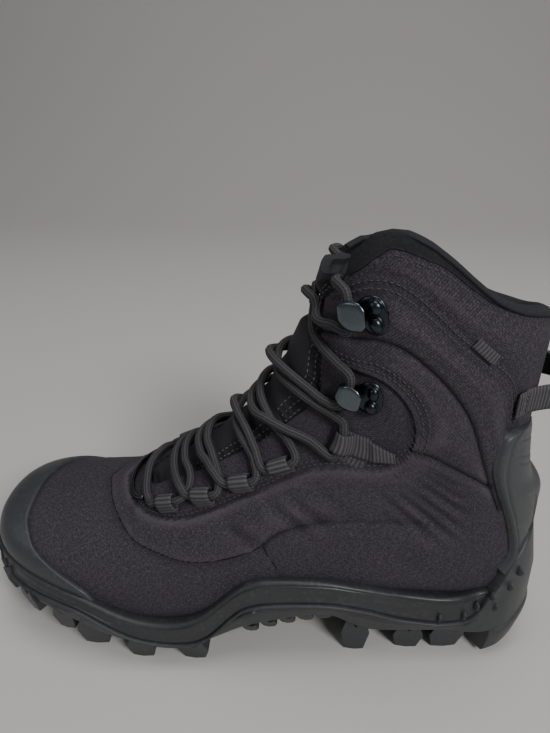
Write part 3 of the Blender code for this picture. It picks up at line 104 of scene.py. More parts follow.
def hermite(ends, at):
    """Catmull-Rom curve: between ends[i + 1] and ends[i + 2], where i is the whole part of at, each value is
    the cubic that leaves and arrives along the lines joining the neighbours on either side."""
    i = np.minimum(at.astype(int), len(ends) - 4)
    t = (at - i)[..., None]
    a, b, c, d = (ends[i + k] for k in range(4))
    return 0.5 * (2 * b + (c - a) * t + (2 * a - 5 * b + 4 * c - d) * t**2 + (3 * b - a - 3 * c + d) * t**3)


def through(table, count):
    """Points evenly counted along the Catmull-Rom curve through a table's rows."""
    table = np.asarray(table, float)
    ends = np.vstack([2 * table[0] - table[1], table, 2 * table[-1] - table[-2]])
    return hermite(ends, np.linspace(0, len(table) - 1, count))


def smooth(value):
    """0 below 0, 1 above 1, and 3 v squared minus 2 v cubed between."""
    value = np.clip(value, 0.0, 1.0)
    return value**2 * (3 - 2 * value)


def bell(value):
    """1 at 0, falling away on both sides as e to the minus square."""
    return np.exp(-np.square(value))


def section(row):
    """The last's columns at a row. Before the tip the last is its own mirror, so the toe is round."""
    past = LAST[1, [2, 3, 0, 1, 4, 5, 6, 7, 8, 9]] * [1, 1, 1, 1, 1, -1, -1, 1, 1, 1]
    ends = np.vstack([past, LAST, 2 * LAST[-1] - LAST[-2]])
    return np.moveaxis(hermite(ends, np.clip(np.asarray(row, float), 0.0, TOP + 0.9)), -1, 0)


def last_point(row, turn):
    """A point of the last. Its section is a superellipse with its own power above and below the widest
    place, laid on the line from its back or bottom point to its front or top one."""
    row, turn = np.broadcast_arrays(np.asarray(row, float), np.mod(np.asarray(turn, float), 2.0))
    front_x, front_z, back_x, back_z, mid, outer, inner, wide, low, high = section(row)
    lateral = turn <= 1.0
    angle = (np.where(lateral, turn, 2.0 - turn) - 0.5) * np.pi
    up, out = np.sin(angle), np.abs(np.cos(angle))
    square = 2.0 / np.where(up < 0, low, high)
    share = wide + np.where(up < 0, -wide, 1 - wide) * np.abs(up) ** square
    y = mid + np.where(lateral, -outer, inner) * out**square
    x = back_x + (front_x - back_x) * share
    lifted = np.interp(share, TOP_LINE[:, 0], TOP_LINE[:, 1])
    z = back_z + (front_z - back_z) * share + lifted * smooth((row - TOP_LINE_FROM) / (TOP - TOP_LINE_FROM))
    return np.stack([x, y, z], -1)


def cuff_shift(row, turn):
    """How far the cuff is lifted from the last's own height, averaged over a little of its run."""
    shown = smooth((row - CUFF_SHIFT_FROM) / (TOP - CUFF_SHIFT_FROM))
    spread = np.linspace(-0.03, 0.03, 5)
    return np.mean([np.interp(np.mod(turn + s, 2.0), *CUFF_SHIFT.T) for s in spread], 0) * shown


def unit(vectors):
    """Vectors divided by their lengths."""
    return vectors / np.maximum(np.linalg.norm(vectors, axis=-1, keepdims=True), 1e-9)


def normal(row, turn):
    """The last's outward normal: the cross product of the steps along and round it."""
    row, turn = np.broadcast_arrays(np.asarray(row, float), np.asarray(turn, float))
    step, inside = 0.004, np.clip(row, 0.03, None)
    along = last_point(inside + step, turn) - last_point(inside - step, turn)
    around = last_point(inside, turn + step) - last_point(inside, turn - step)
    out = np.cross(along, around)
    return unit(np.where((row < 0.02)[..., None], np.array([-1.0, 0.0, 0.0]), out))


def skin(row, turn, lift=0.0):
    """A point of the last moved out along its normal by lift."""
    return last_point(row, turn) + np.asarray(lift, float)[..., None] * normal(row, turn)


def throat_edge(row):
    """Turn from the ridge to the throat's edge: its table, times a quarter circle at the front end."""
    near = np.clip((row - THROAT_END) / THROAT_ROUND, 0.0, 1.0)
    return np.interp(row, THROAT[:, 0], THROAT[:, 1]) * np.sqrt(1 - (1 - near) ** 2)


def open_below(row):
    """Turn from the bottom line to the lasting margin's edge, round at both ends."""
    near = np.clip(np.minimum(row - TOE_END, HEEL_END - row) / 0.5, 0.0, 1.0)
    return OPEN_BELOW * np.sqrt(1 - (1 - near) ** 2)


def distance(points, line):
    """Distance from points to a line of short straight pieces: the least of those to its pieces."""
    best = np.full(points.shape[:-1], 1e9)
    for start, end in zip(line[:-1], line[1:]):
        along = end - start
        share = np.clip((points - start) @ along / (along @ along), 0.0, 1.0)
        best = np.minimum(best, np.linalg.norm(points - start - share[..., None] * along, axis=-1))
    return best


def within(places, outline):
    """Whether places (..., 2) are inside a closed outline: a ray from each crosses it an odd number of
    times."""
    odd = np.zeros(places.shape[:-1], bool)
    for (ax, ay), (bx, by) in zip(outline, np.roll(outline, -1, 0)):
        crosses = (ay > places[..., 1]) != (by > places[..., 1])
        reach = ax + (places[..., 1] - ay) * (bx - ax) / (by - ay if by != ay else 1e-9)
        odd ^= crosses & (places[..., 0] < reach)
    return odd


# The seams, each a run of places: row, and turn from the ridge. Both sides of the boot have them.
FACING_SEAM = [(3.98, 0.0), (4.12, 0.071), (4.35, 0.14), (4.69, 0.199), (5.30, 0.254), (5.97, 0.279)]
FACING_SEAM += [(6.77, 0.296), (7.55, 0.309), (8.34, 0.341), (9.27, 0.389), (9.95, 0.419), (10.61, 0.442)]
LEAF_SEAM = [(10.61, 0.442), (11.2, 0.458), (11.75, 0.464), (12.06, 0.444), (12.15, 0.409), (12.06, 0.369)]
LEAF_SEAM += [(11.76, 0.319), (11.35, 0.264), (11.0, 0.215), (10.8, 0.172)]
OVERLAY_SEAM = [(3.62, 0.0), (3.8, 0.09), (4.03, 0.169), (4.41, 0.264), (4.96, 0.339), (5.43, 0.392)]
OVERLAY_SEAM += [(5.89, 0.422), (6.3, 0.43), (6.55, 0.427)]
PRESSED_LINE = [(6.55, 0.427), (6.8, 0.413), (7.25, 0.417), (7.84, 0.437), (8.5, 0.464), (9.55, 0.504)]
SHORT_SEAM = [(6.55, 0.427), (6.59, 0.469), (6.66, 0.53), (6.72, 0.60)]
ANKLE_SEAM = [(11.7, 0.155), (12.23, 0.216), (12.62, 0.29), (12.94, 0.364), (13.12, 0.45), (13.0, 0.532)]
ANKLE_SEAM += [(12.64, 0.599), (12.01, 0.630), (11.5, 0.645), (11.1, 0.665)]
BAND_SEAM = [(13.75, 0.17), (13.95, 0.281), (14.05, 0.372), (14.06, 0.432), (14.0, 0.487), (13.89, 0.542)]
BAND_SEAM += [(13.81, 0.624), (13.66, 0.70), (13.33, 0.742), (12.95, 0.746)]
LOWER_ANKLE_SEAM = [(10.7, 0.446), (11.2, 0.507), (11.43, 0.582), (11.5, 0.645)]
CUFF_SEAM = [(14.3, 0.236), (14.36, 0.30), (14.5, 0.345), (14.6, 0.375), (14.62, 0.423), (14.65, 0.469)]
CUFF_SEAM += [(14.72, 0.503), (14.75, 0.55), (14.79, 0.6), (14.86, 0.66), (14.88, 0.8), (14.85, 1.0)]
# Creases that the hand feels, each from a place to a place, with its half width and depth.
CREASES = [
    ((6.80, 0.295), (7.30, 0.46), 2.6, 0.9),
    ((7.12, 0.305), (7.60, 0.46), 2.6, 0.8),
    ((5.98, 0.30), (6.62, 0.45), 3.0, 0.9),
    ((7.60, 0.325), (8.05, 0.45), 2.6, 0.6),
    ((8.7, 0.385), (9.1, 0.53), 2.0, 1.1),
    ((9.1, 0.40), (9.6, 0.56), 1.7, 1.2),
    ((9.45, 0.42), (10.1, 0.58), 1.7, 1.1),
    ((9.85, 0.435), (10.65, 0.59), 1.8, 1.2),
    ((10.2, 0.445), (11.0, 0.59), 1.6, 1.0),
    ((10.5, 0.455), (11.2, 0.58), 1.4, 0.8),
    ((8.4, 0.42), (8.75, 0.50), 2.6, 0.6),
    ((5.2, 0.30), (5.5, 0.34), 3.5, 0.5),
    ((10.3, 0.50), (10.2, 0.62), 4.0, 0.5),
    ((8.2, 0.50), (8.6, 0.58), 5.0, 0.4),
    ((3.1, 0.25), (3.3, 0.45), 6.0, 0.5),
]


def seam_places(seam, side, count=70):
    """Rows and turns along a seam on the outer side (side 1) or the inner one (-1)."""
    places = through(seam, count)
    return places[:, 0], 1 - side * places[:, 1]


def sunk_outline():
    """The lacing band with its lobe, as a closed outline of rows and turns from the ridge."""
    edge = np.vstack([through(FACING_SEAM, 60), through(LEAF_SEAM, 50)])
    return np.vstack([edge, [(10.8, -0.2), (3.9, -0.2)]])


def relief(row, turn):
    """How far the cloth of the upper stands off the last. The lacing band is sunk behind a soft step, the
    overlay stands proud of the toe panel, each seam is a narrow trough in the shape of a bell, panels swell
    away from their seams, and creases are shallow bells along short lines."""
    row, turn = np.broadcast_arrays(np.asarray(row, float), np.asarray(turn, float))
    lift = np.zeros(row.shape)
    for side in (1, -1):
        here = (turn <= 1.0) if side == 1 else (turn > 1.0)
        r, d = row[here], np.abs(1 - turn[here])
        points = last_point(r, 1 - side * d)
        away = {
            name: distance(points, last_point(*seam_places(seam, side)))
            for name, seam in {
                "facing": FACING_SEAM, "leaf": LEAF_SEAM, "overlay": OVERLAY_SEAM, "pressed": PRESSED_LINE,
                "short": SHORT_SEAM, "ankle": ANKLE_SEAM, "band": BAND_SEAM, "low": LOWER_ANKLE_SEAM,
                "cuff": CUFF_SEAM,
            }.items()
        }
        sunk = within(np.stack([r, d], -1), sunk_outline())
        sunk_edge = np.minimum(away["facing"], away["leaf"])
        signed = np.where(sunk, -sunk_edge, sunk_edge)
        made = -FACING_STEP * (1 - smooth((signed + 0.5) / 1.0))
        made -= 0.3 * (bell((signed - 3.0) / 0.9) + bell((signed - 5.2) / 0.9)) * (r > 9.5)
        top_of_overlay = np.interp(r, through(OVERLAY_SEAM, 60)[:, 0], through(OVERLAY_SEAM, 60)[:, 1])
        in_overlay = (d < top_of_overlay) & (r > 3.62) & (r < 6.55) & ~sunk
        signed = np.where(in_overlay | sunk, away["overlay"], -away["overlay"])
        proud = smooth((signed + 0.5) / 1.0) * smooth((7.6 - r) / 1.6) * (r > 3.5)
        made += 0.9 * np.where(r < 6.55, proud, smooth((away["pressed"]) / 1.5) * smooth((7.6 - r) / 1.0)
                               * (d < np.interp(r, *np.array(PRESSED_LINE).T)))
        made -= 0.55 * bell(away["pressed"] / 1.1) * smooth((9.7 - r) / 1.0)
        made += 0.9 * smooth(away["pressed"] / 9.0) * bell((d - 0.37) / 0.07) * smooth((r - 6.2) / 0.6) \
            * smooth((10.2 - r) / 1.2)
        made -= 0.5 * bell(away["short"] / 0.8)
        made -= 1.2 * bell(away["ankle"] / 1.1) * smooth(away["leaf"] / 2.0)
        made -= 1.1 * bell(away["low"] / 1.1)
        made -= 0.35 * (bell(away["band"] / 0.8) + bell((away["band"] - 3.2) / 1.0))
        made -= 0.5 * bell(away["cuff"] / 0.8)
        seams = np.minimum.reduce([away[name] for name in ("leaf", "facing", "ankle", "band", "low", "cuff")])
        soft = smooth((r - 10.6) / 1.2) * smooth((d - 0.34) / 0.1)
        made += 1.5 * smooth(seams / 11.0) * soft
        made += 0.5 * smooth(away["overlay"] / 14.0) * in_overlay
        for start, end, half, depth in CREASES:
            line = last_point(*seam_places([start, tuple(np.mean([start, end], 0)), end], side, 9))
            ends = np.minimum(*(np.linalg.norm(points - line[k], axis=-1) for k in (0, -1)))
            fading = smooth(2.4 * ends / np.linalg.norm(line[-1] - line[0]))
            made -= depth * bell(distance(points, line) / half) * fading
        lift[here] = made
    wave = np.sin(row * 3.1 + turn * 9.0) * np.sin(turn * 21.0 - row * 1.7)
    return lift + 0.18 * wave * smooth((row - 1.5) / 1.5)


def hollows(lift, reach):
    """How far each point of a grid of lifts is below the mean of those around it: positive in the bottom of
    seams and creases, negative on the swellings beside them."""
    mean = lift
    for axis in (0, 1):
        width = [(reach, reach) if k == axis else (0, 0) for k in (0, 1)]
        spread = np.pad(mean, width, mode="edge")
        count = mean.shape[axis]
        windows = [np.take(spread, np.arange(k, k + count), axis) for k in range(2 * reach + 1)]
        mean = sum(windows) / len(windows)
    return mean - lift


def cuff_share(row, turn):
    """How much of the padding of the cuff is in the wall: none at the facings, all round the ankle's top."""
    d = np.abs(1 - turn)
    return smooth((row - 12.4) / 1.3) * smooth((d - throat_edge(row) - 0.13) / 0.08)


def grid_faces(rows, columns, first=0, wrap=False):
    """Corner numbers of the faces of a grid whose points are numbered row by row. wrap joins its last column
    to its first."""
    i, k = np.meshgrid(np.arange(rows - 1), np.arange(columns if wrap else columns - 1), indexing="ij")
    n = (k + 1) % columns
    corners = [i * columns + k, (i + 1) * columns + k, (i + 1) * columns + n, i * columns + n]
    return first + np.stack(corners, -1).reshape(-1, 4)


def cloth_map(rows, turns):
    """Distances in millimetres along and round the last's surface, counted from the toe and the bottom."""
    points = last_point(rows, turns)
    along = np.linalg.norm(np.diff(points, axis=0), axis=-1)
    around = np.linalg.norm(np.diff(points, axis=1), axis=-1)
    u = np.vstack([np.zeros((1, rows.shape[1])), np.cumsum(along, 0)])
    v = np.hstack([np.zeros((rows.shape[0], 1)), np.cumsum(around, 1)])
    return np.stack([u.mean(1, keepdims=True) + 0 * u, v], -1)


def piece(name, parts, made_of, marks=None, body="root", out=False):
    """An object of the boot from parts, each (points in millimetres, corner numbers of its faces, places on
    its own map or None). Points that fall together are made one, and faces that shrink to a line are left
    out. marks are named values of the points, and out turns all faces outwards."""
    points = np.concatenate([np.asarray(part[0], float).reshape(-1, 3) for part in parts])
    counts = np.cumsum([0] + [np.asarray(part[0]).reshape(-1, 3).shape[0] for part in parts])
    corners = np.concatenate([
        np.hstack([part[1], part[1][:, :1]]) if part[1].shape[1] == 3 else part[1] for part in
        [(None, np.asarray(part[1]) + start) for part, start in zip(parts, counts)]
    ])
    places = [np.zeros((len(np.asarray(p[0]).reshape(-1, 3)), 2)) if len(p) < 3 or p[2] is None
              else np.asarray(p[2], float).reshape(-1, 2) for p in parts]
    places = np.concatenate(places)
    _, first, index = np.unique(np.round(points, 3), axis=0, return_index=True, return_inverse=True)
    index = index.reshape(-1)
    joined = index[corners]
    kept = joined != np.roll(joined, 1, 1)
    kept &= kept.sum(1, keepdims=True) > 2
    kept &= ~((joined[:, [0]] == joined[:, [2]]) | (joined[:, [1]] == joined[:, [3]]))
    sizes = kept.sum(1)
    mesh = bpy.data.meshes.new(name)
    mesh.vertices.add(len(first))
    mesh.vertices.foreach_set("co", ((points[first] - ORIGIN) * MM).astype(np.float32).ravel())
    mesh.loops.add(int(sizes.sum()))
    mesh.loops.foreach_set("vertex_index", joined[kept].astype(np.int32))
    mesh.polygons.add(int((sizes > 0).sum()))
    starts = np.concatenate([[0], np.cumsum(sizes[sizes > 0])[:-1]])
    mesh.polygons.foreach_set("loop_start", starts.astype(np.int32))
    mesh.update(calc_edges=True)
    mesh.uv_layers.new(name="cloth").data.foreach_set("uv", (places[corners[kept]] * 0.01).ravel())
    for mark, values in (marks or {}).items():
        held = mesh.attributes.new(mark, "FLOAT", "POINT")
        held.data.foreach_set("value", np.asarray(values, float).ravel()[first].astype(np.float32))
    mesh.validate()
    mesh.shade_smooth()
    if out:
        turned = bmesh.new()
        turned.from_mesh(mesh)
        bmesh.ops.recalc_face_normals(turned, faces=turned.faces)
        turned.to_mesh(mesh)
        turned.free()
    mesh.materials.append(made_of)
    obj = bpy.data.objects.new(name, mesh)
    bpy.context.scene.collection.objects.link(obj)
    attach(obj, body)
    return obj


def node_group(name, inputs, outputs):
    """An empty shader node group with its sockets, and its nodes, links, input and output ready to use."""
    group = bpy.data.node_groups.new(name, "ShaderNodeTree")
    for kind, sockets in (("INPUT", inputs), ("OUTPUT", outputs)):
        for socket, form, value in sockets:
            made = group.interface.new_socket(socket, in_out=kind, socket_type=form)
            if value is not None:
                made.default_value = value
    return group, group.nodes.new("NodeGroupInput"), group.nodes.new("NodeGroupOutput")


def maths(tree, operation, a, b=0.0, c=0.0):
    """The output of a Math node on numbers or sockets."""
    node = tree.nodes.new("ShaderNodeMath")
    node.operation = operation
    for socket, value in zip(node.inputs, (a, b, c)):
        if isinstance(value, (int, float)):
            socket.default_value = value
        else:
            tree.links.new(value, socket)
    return node.outputs[0]


def noise(tree, vector, scale, detail=2.0, roughness=0.5):
    """The value of a noise texture on Object coordinates or a map."""
    node = tree.nodes.new("ShaderNodeTexNoise")
    node.inputs["Scale"].default_value = scale
    node.inputs["Detail"].default_value = detail
    node.inputs["Roughness"].default_value = roughness
    tree.links.new(vector, node.inputs["Vector"])
    return node.outputs["Fac"]


def ramp(tree, value, low, high, out_low=0.0, out_high=1.0):
    """A value mapped from one range to another, and kept inside it."""
    node = tree.nodes.new("ShaderNodeMapRange")
    tree.links.new(value, node.inputs["Value"])
    for socket, number in zip(("From Min", "From Max", "To Min", "To Max"), (low, high, out_low, out_high)):
        node.inputs[socket].default_value = number
    return node.outputs["Result"]


def blended(tree, share, a, b):
    """A mix of two colours, each a socket or three numbers, by a share."""
    node = tree.nodes.new("ShaderNodeMix")
    node.data_type = "RGBA"
    if isinstance(share, (int, float)):
        node.inputs[0].default_value = share
    else:
        tree.links.new(share, node.inputs[0])
    for socket, value in ((node.inputs[6], a), (node.inputs[7], b)):
        if isinstance(value, tuple):
            socket.default_value = (*value, 1.0)
        else:
            tree.links.new(value, socket)
    return node.outputs[2]


def stretched(tree, vector, along, across):
    """A map drawn out by its own share in each direction."""
    node = tree.nodes.new("ShaderNodeMapping")
    node.inputs["Scale"].default_value = (along, across, 1.0)
    tree.links.new(vector, node.inputs["Vector"])
    return node.outputs[0]


TWILL = 1.15  # millimetres from one slanting line of the weave to the next


def weave_group():
    """Plain weave on a cloth map: warp and weft threads are two rows of ridges, and the higher of them at
    each place is the one on top, which swaps from crossing to crossing. Noise makes threads uneven, and drawn
    out along each thread it gives their short lighter and darker lengths."""
    group, given, put = node_group(
        "weave",
        [("Place", "NodeSocketVector", None), ("Threads", "NodeSocketFloat", 1.0)],
        [(name, "NodeSocketFloat", None) for name in ("Height", "Warp", "Slub", "Twill")],
    )
    split = group.nodes.new("ShaderNodeSeparateXYZ")
    group.links.new(given.outputs["Place"], split.inputs[0])
    u = maths(group, "MULTIPLY", split.outputs[0], given.outputs["Threads"])
    v = maths(group, "MULTIPLY", split.outputs[1], given.outputs["Threads"])
    su, sv = (maths(group, "SINE", maths(group, "MULTIPLY", part, np.pi)) for part in (u, v))
    over = maths(group, "MULTIPLY", su, sv)
    ridge = maths(group, "ADD", maths(group, "ABSOLUTE", su), maths(group, "ABSOLUTE", sv))
    height = maths(group, "ADD", maths(group, "MULTIPLY", ridge, 0.3), maths(group, "MULTIPLY", over, 0.4))
    uneven = noise(group, given.outputs["Place"], 9.0, 3.0, 0.7)
    group.links.new(maths(group, "ADD", height, maths(group, "MULTIPLY", uneven, 0.5)), put.inputs["Height"])
    group.links.new(ramp(group, over, -0.3, 0.3), put.inputs["Warp"])
    warp = noise(group, stretched(group, given.outputs["Place"], 0.6, 2.6), 1.0, 1.0, 0.5)
    weft = noise(group, stretched(group, given.outputs["Place"], 2.6, 0.6), 1.0, 1.0, 0.5)
    group.links.new(ramp(group, maths(group, "MAXIMUM", warp, weft), 0.44, 0.68), put.inputs["Slub"])
    slant = maths(group, "ADD", maths(group, "ADD", split.outputs[0], split.outputs[1]),
                  maths(group, "MULTIPLY", uneven, 0.6))
    lines = maths(group, "SINE", maths(group, "MULTIPLY", slant, 2 * np.pi / TWILL))
    group.links.new(maths(group, "MULTIPLY_ADD", lines, 0.5, 0.5), put.inputs["Twill"])
    return group


def wear_group():
    """Two scales of faint unevenness on Object coordinates, as dust and handling leave it: broad clouds and
    small specks, each from 0 to 1."""
    group, given, put = node_group(
        "wear",
        [("Place", "NodeSocketVector", None)],
        [("Clouds", "NodeSocketFloat", None), ("Specks", "NodeSocketFloat", None)],
    )
    clouds = noise(group, given.outputs[0], 28.0, 4.0, 0.6)
    specks = noise(group, given.outputs[0], 420.0, 2.0, 0.6)
    group.links.new(ramp(group, clouds, 0.3, 0.7), put.inputs["Clouds"])
    group.links.new(ramp(group, specks, 0.55, 0.75), put.inputs["Specks"])
    return group


WEAVE, WEAR = weave_group(), wear_group()


def finish(name, colour, roughness, metallic=0.0, sheen=0.0, specular=0.5):
    """A new Principled material with its plain values, its node tree and its shader."""
    made = bpy.data.materials.new(name)
    made.use_nodes = True
    shader = made.node_tree.nodes["Principled BSDF"]
    shader.inputs["Base Color"].default_value = (*colour, 1.0)
    shader.inputs["Roughness"].default_value = roughness
    shader.inputs["Metallic"].default_value = metallic
    shader.inputs["Sheen Weight"].default_value = sheen
    shader.inputs["Sheen Roughness"].default_value = 0.4
    shader.inputs["Specular IOR Level"].default_value = specular
    return made, made.node_tree, shader


def bumped(tree, shader, height, strength, depth):
    """Joins a height to the shader's normal through a Bump node."""
    bump = tree.nodes.new("ShaderNodeBump")
    bump.inputs["Strength"].default_value = strength
    bump.inputs["Distance"].default_value = depth
    tree.links.new(height, bump.inputs["Height"])
    tree.links.new(bump.outputs["Normal"], shader.inputs["Normal"])


def use_group(tree, group, place, **values):
    """A group placed in a material, reading a place."""
    node = tree.nodes.new("ShaderNodeGroup")
    node.node_tree = group
    tree.links.new(place, node.inputs["Place"])
    for name, value in values.items():
        node.inputs[name].default_value = value
    return node


def object_place(tree):
    """Places in the object's own coordinates, in metres."""
    return tree.nodes.new("ShaderNodeTexCoord").outputs["Object"]


CLOTH_UNIT = 100.0  # millimetres for each unit of the cloth map


def cloth_place(tree):
    """The cloth map in millimetres."""
    held = tree.nodes.new("ShaderNodeUVMap")
    held.uv_map = "cloth"
    scaled = tree.nodes.new("ShaderNodeVectorMath")
    scaled.operation = "SCALE"
    scaled.inputs["Scale"].default_value = CLOTH_UNIT
    tree.links.new(held.outputs[0], scaled.inputs[0])
    return scaled.outputs[0]


def mark(tree, name):
    """A mark that the piece carries at each of its points, read by its name."""
    held = tree.nodes.new("ShaderNodeAttribute")
    held.attribute_name = name
    return held.outputs["Fac"]


def speckled(name, colour, roughness, grain, dark, light, relief=None, **shine):
    """A material that noise mixes from two colours. grain is the noise's scale, detail and roughness, and
    relief the strength and depth of a bump from the same noise."""
    made, tree, shader = finish(name, colour, roughness, **shine)
    value = noise(tree, object_place(tree), *grain)
    tree.links.new(blended(tree, value, dark, light), shader.inputs["Base Color"])
    if relief:
        bumped(tree, shader, value, *relief)
    return made


NYLON_WARP, NYLON_WEFT = (0.020, 0.0175, 0.0235), (0.057, 0.050, 0.062)
NYLON_LIGHT = (0.106, 0.093, 0.112)
# The next line's colours: painted shade for the cloth's hollows, and a painted highlight for the swellings
# beside them.
NYLON_PAINTED_SHADE, NYLON_PAINTED_HIGHLIGHT = (0.009, 0.0085, 0.011), (0.115, 0.100, 0.118)
KNIT_DARK, KNIT_LIGHT = (0.014, 0.0145, 0.017), (0.040, 0.040, 0.046)
KNIT_GRAIN = (900.0, 2.0, 0.6)  # scale, detail and roughness of its noise


def upper_finish():
    """Woven nylon, which turns to the cuff's soft knit where the mark says so. Its hollows get painted shade
    and its swellings a painted highlight.
    """
    made, tree, shader = finish("woven_nylon", NYLON_WARP, 0.82, sheen=0.0, specular=0.22)
    place, cloth = object_place(tree), cloth_place(tree)
    weave = use_group(tree, WEAVE, cloth, Threads=1.7)
    wear = use_group(tree, WEAR, place)
    lines = maths(tree, "MULTIPLY", weave.outputs["Twill"], 0.32)
    yarn = maths(tree, "ADD", lines, maths(tree, "MULTIPLY", weave.outputs["Slub"], 0.68))
    nylon = blended(tree, yarn, NYLON_WARP, NYLON_WEFT)
    nylon = blended(tree, ramp(tree, yarn, 0.5, 0.9, 0.0, 0.8), nylon, NYLON_LIGHT)
    nylon = blended(tree, maths(tree, "MULTIPLY", wear.outputs["Clouds"], 0.25), nylon, (0.066, 0.056, 0.062))
    nylon = blended(tree, maths(tree, "MULTIPLY", wear.outputs["Specks"], 0.12), nylon, (0.16, 0.14, 0.15))
    # Painted shade darkens the cloth in the hollows of seams and creases, and a painted highlight lightens
    # the swellings beside them.
    depth = mark(tree, "hollow")
    nylon = blended(tree, ramp(tree, depth, 0.05, 0.95, 0.0, 0.72), nylon, NYLON_PAINTED_SHADE)
    nylon = blended(tree, ramp(tree, depth, -0.12, -0.6, 0.0, 0.45), nylon, NYLON_PAINTED_HIGHLIGHT)
    knit_noise = noise(tree, place, *KNIT_GRAIN)
    knit = blended(tree, knit_noise, KNIT_DARK, KNIT_LIGHT)
    soft = mark(tree, "knit")
    tree.links.new(blended(tree, soft, nylon, knit), shader.inputs["Base Color"])
    tree.links.new(ramp(tree, soft, 0.0, 1.0, 0.8, 0.95), shader.inputs["Roughness"])
    knitted = maths(tree, "MULTIPLY", knit_noise, 1.2)
    woven = maths(tree, "MULTIPLY_ADD", weave.outputs["Height"], 0.4, maths(tree, "MULTIPLY", yarn, 0.9))
    held = tree.nodes.new("ShaderNodeMix")
    tree.links.new(soft, held.inputs[0])
    tree.links.new(woven, held.inputs[2])
    tree.links.new(knitted, held.inputs[3])
    bumped(tree, shader, held.outputs[0], 0.55, 0.0003)
    return made


SHELL_FINISH = upper_finish()
ROW_STEPS = 23  # grid rows for each row of the last
SIDE_STEPS = 96  # grid columns up each side
ROLL_STEPS = 9


def upper_shell():
    """The outer face of the upper on a grid of rows and turns, lifted by the relief. At the throat its edge
    turns inwards on a half circle, and past the top line the grid goes on over the cuff's half round and down
    its inside, where the knit lines the boot to the toe on a coarser grid."""
    rows = np.linspace(0.0, TOP, int(TOP * ROW_STEPS) + 1)
    rows = rows[rows < 14.88]
    roll = np.linspace(0, np.pi, ROLL_STEPS + 1)
    down = np.array([14.75, 14.6, 14.4, 14.1, 13.7])
    path = np.concatenate([rows, np.full(len(roll), 15.0), down])
    low, edge = open_below(path)[:, None], 1 - throat_edge(path)[:, None]
    share = np.linspace(0, 1, SIDE_STEPS + 1)
    half = low + (edge - low) * share
    wrap = np.linspace(0, np.pi / 2, 5)[1:]
    closing = smooth((path - THROAT_END) / 0.05)[:, None]
    sheets = []
    for side in (1, -1):
        turns = np.hstack([half, np.repeat(edge, len(wrap), 1)])
        grid = np.repeat(path[:, None], turns.shape[1], 1)
        turn = turns if side == 1 else 2 - turns
        cuff = cuff_share(np.minimum(grid, 14.9), turn)
        thick = WALL + (COLLAR_WALL - WALL) * cuff
        outer = relief(grid, turn)
        # How far each point lies below those round it; the finish paints shade in the hollows and highlight
        # on the swellings from it.
        hollow = hollows(outer, 4)
        lift = outer.copy()
        lift[:, len(share):] -= closing * (thick[:, len(share):] * (1 - np.cos(wrap)))
        turns[:, len(share):] += closing * 0.010 * np.sin(wrap) * (1 - 0.25 * np.sin(wrap))
        first, last = len(rows), len(rows) + len(roll)
        half_thick = thick[first:last] / 2
        bulge = 0.6 * cuff[first:last]
        angle = roll[:, None]
        lift[first:last] = np.where(
            np.arange(turns.shape[1]) < len(share),
            -half_thick + (half_thick + bulge) * np.cos(angle),
            lift[first:last],
        )
        height = half_thick / 27.5 * np.sin(angle)
        grid[first:last] = 15.0 - half_thick[:1] / 27.5 + height
        lift[last:, : len(share)] = -thick[last:, : len(share)] - 0.4
        turn = turns if side == 1 else 2 - turns
        points = skin(grid, turn, lift)
        points[..., 2] += cuff_shift(grid, turn)
        cuff_row = np.interp(np.abs(1 - turn), *np.array(CUFF_SEAM)[:, ::-1].T)
        knit = np.where(np.arange(len(path))[:, None] >= first, 1.0, smooth((grid - cuff_row) / 0.03))
        faces = grid_faces(*turns.shape)
        if side == -1:
            faces = faces[:, ::-1]
        sheets.append((points, faces, cloth_map(grid, turn), knit, hollow))
    return sheets


sheets = upper_shell()
upper = piece("upper_shell", [s[:3] for s in sheets], SHELL_FINISH,
              marks={"knit": np.concatenate([s[3].ravel() for s in sheets]),
                     "hollow": np.concatenate([s[4].ravel() for s in sheets])})
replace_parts(upper, "upper")


KNIT = speckled("cuff_knit", KNIT_DARK, 0.95, KNIT_GRAIN, KNIT_DARK, KNIT_LIGHT, (0.5, 0.0003), sheen=0.1,
                specular=0.2)


def lining():
    """The inner face of the upper: the last's own surface moved in by the wall, on a coarse grid."""
    rows = np.concatenate([np.linspace(0.02, 4.3, 22), np.linspace(4.45, 14.2, 60)])
    low, edge = open_below(rows)[:, None], 1 - throat_edge(rows)[:, None] + 0.008
    half = low + (edge - low) * np.linspace(0, 1, 25)
    parts = []
    for side in (1, -1):
        turns = half if side == 1 else 2 - half
        grid = np.repeat(rows[:, None], turns.shape[1], 1)
        thick = WALL + (COLLAR_WALL - WALL) * cuff_share(grid, turns)
        faces = grid_faces(*turns.shape)
        points = skin(grid, turns, -thick)
        points[..., 2] += cuff_shift(grid, turns)
        parts.append((points, faces if side == -1 else faces[:, ::-1], cloth_map(grid, turns)))
    return parts


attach(piece("upper_lining", lining(), KNIT), "root")

# ---------------------------------------------------------------- seams and stitches
# Where two panels meet, the cloth turns under and leaves a dark line. Beside most of them runs lockstitch in
# bonded thread, one or two rows, each stitch a short rounded dash sunk a little in the cloth.

STITCH_LENGTH, STITCH_PITCH, THREAD = 1.9, 2.6, 0.36
LINE_THREAD = 0.33


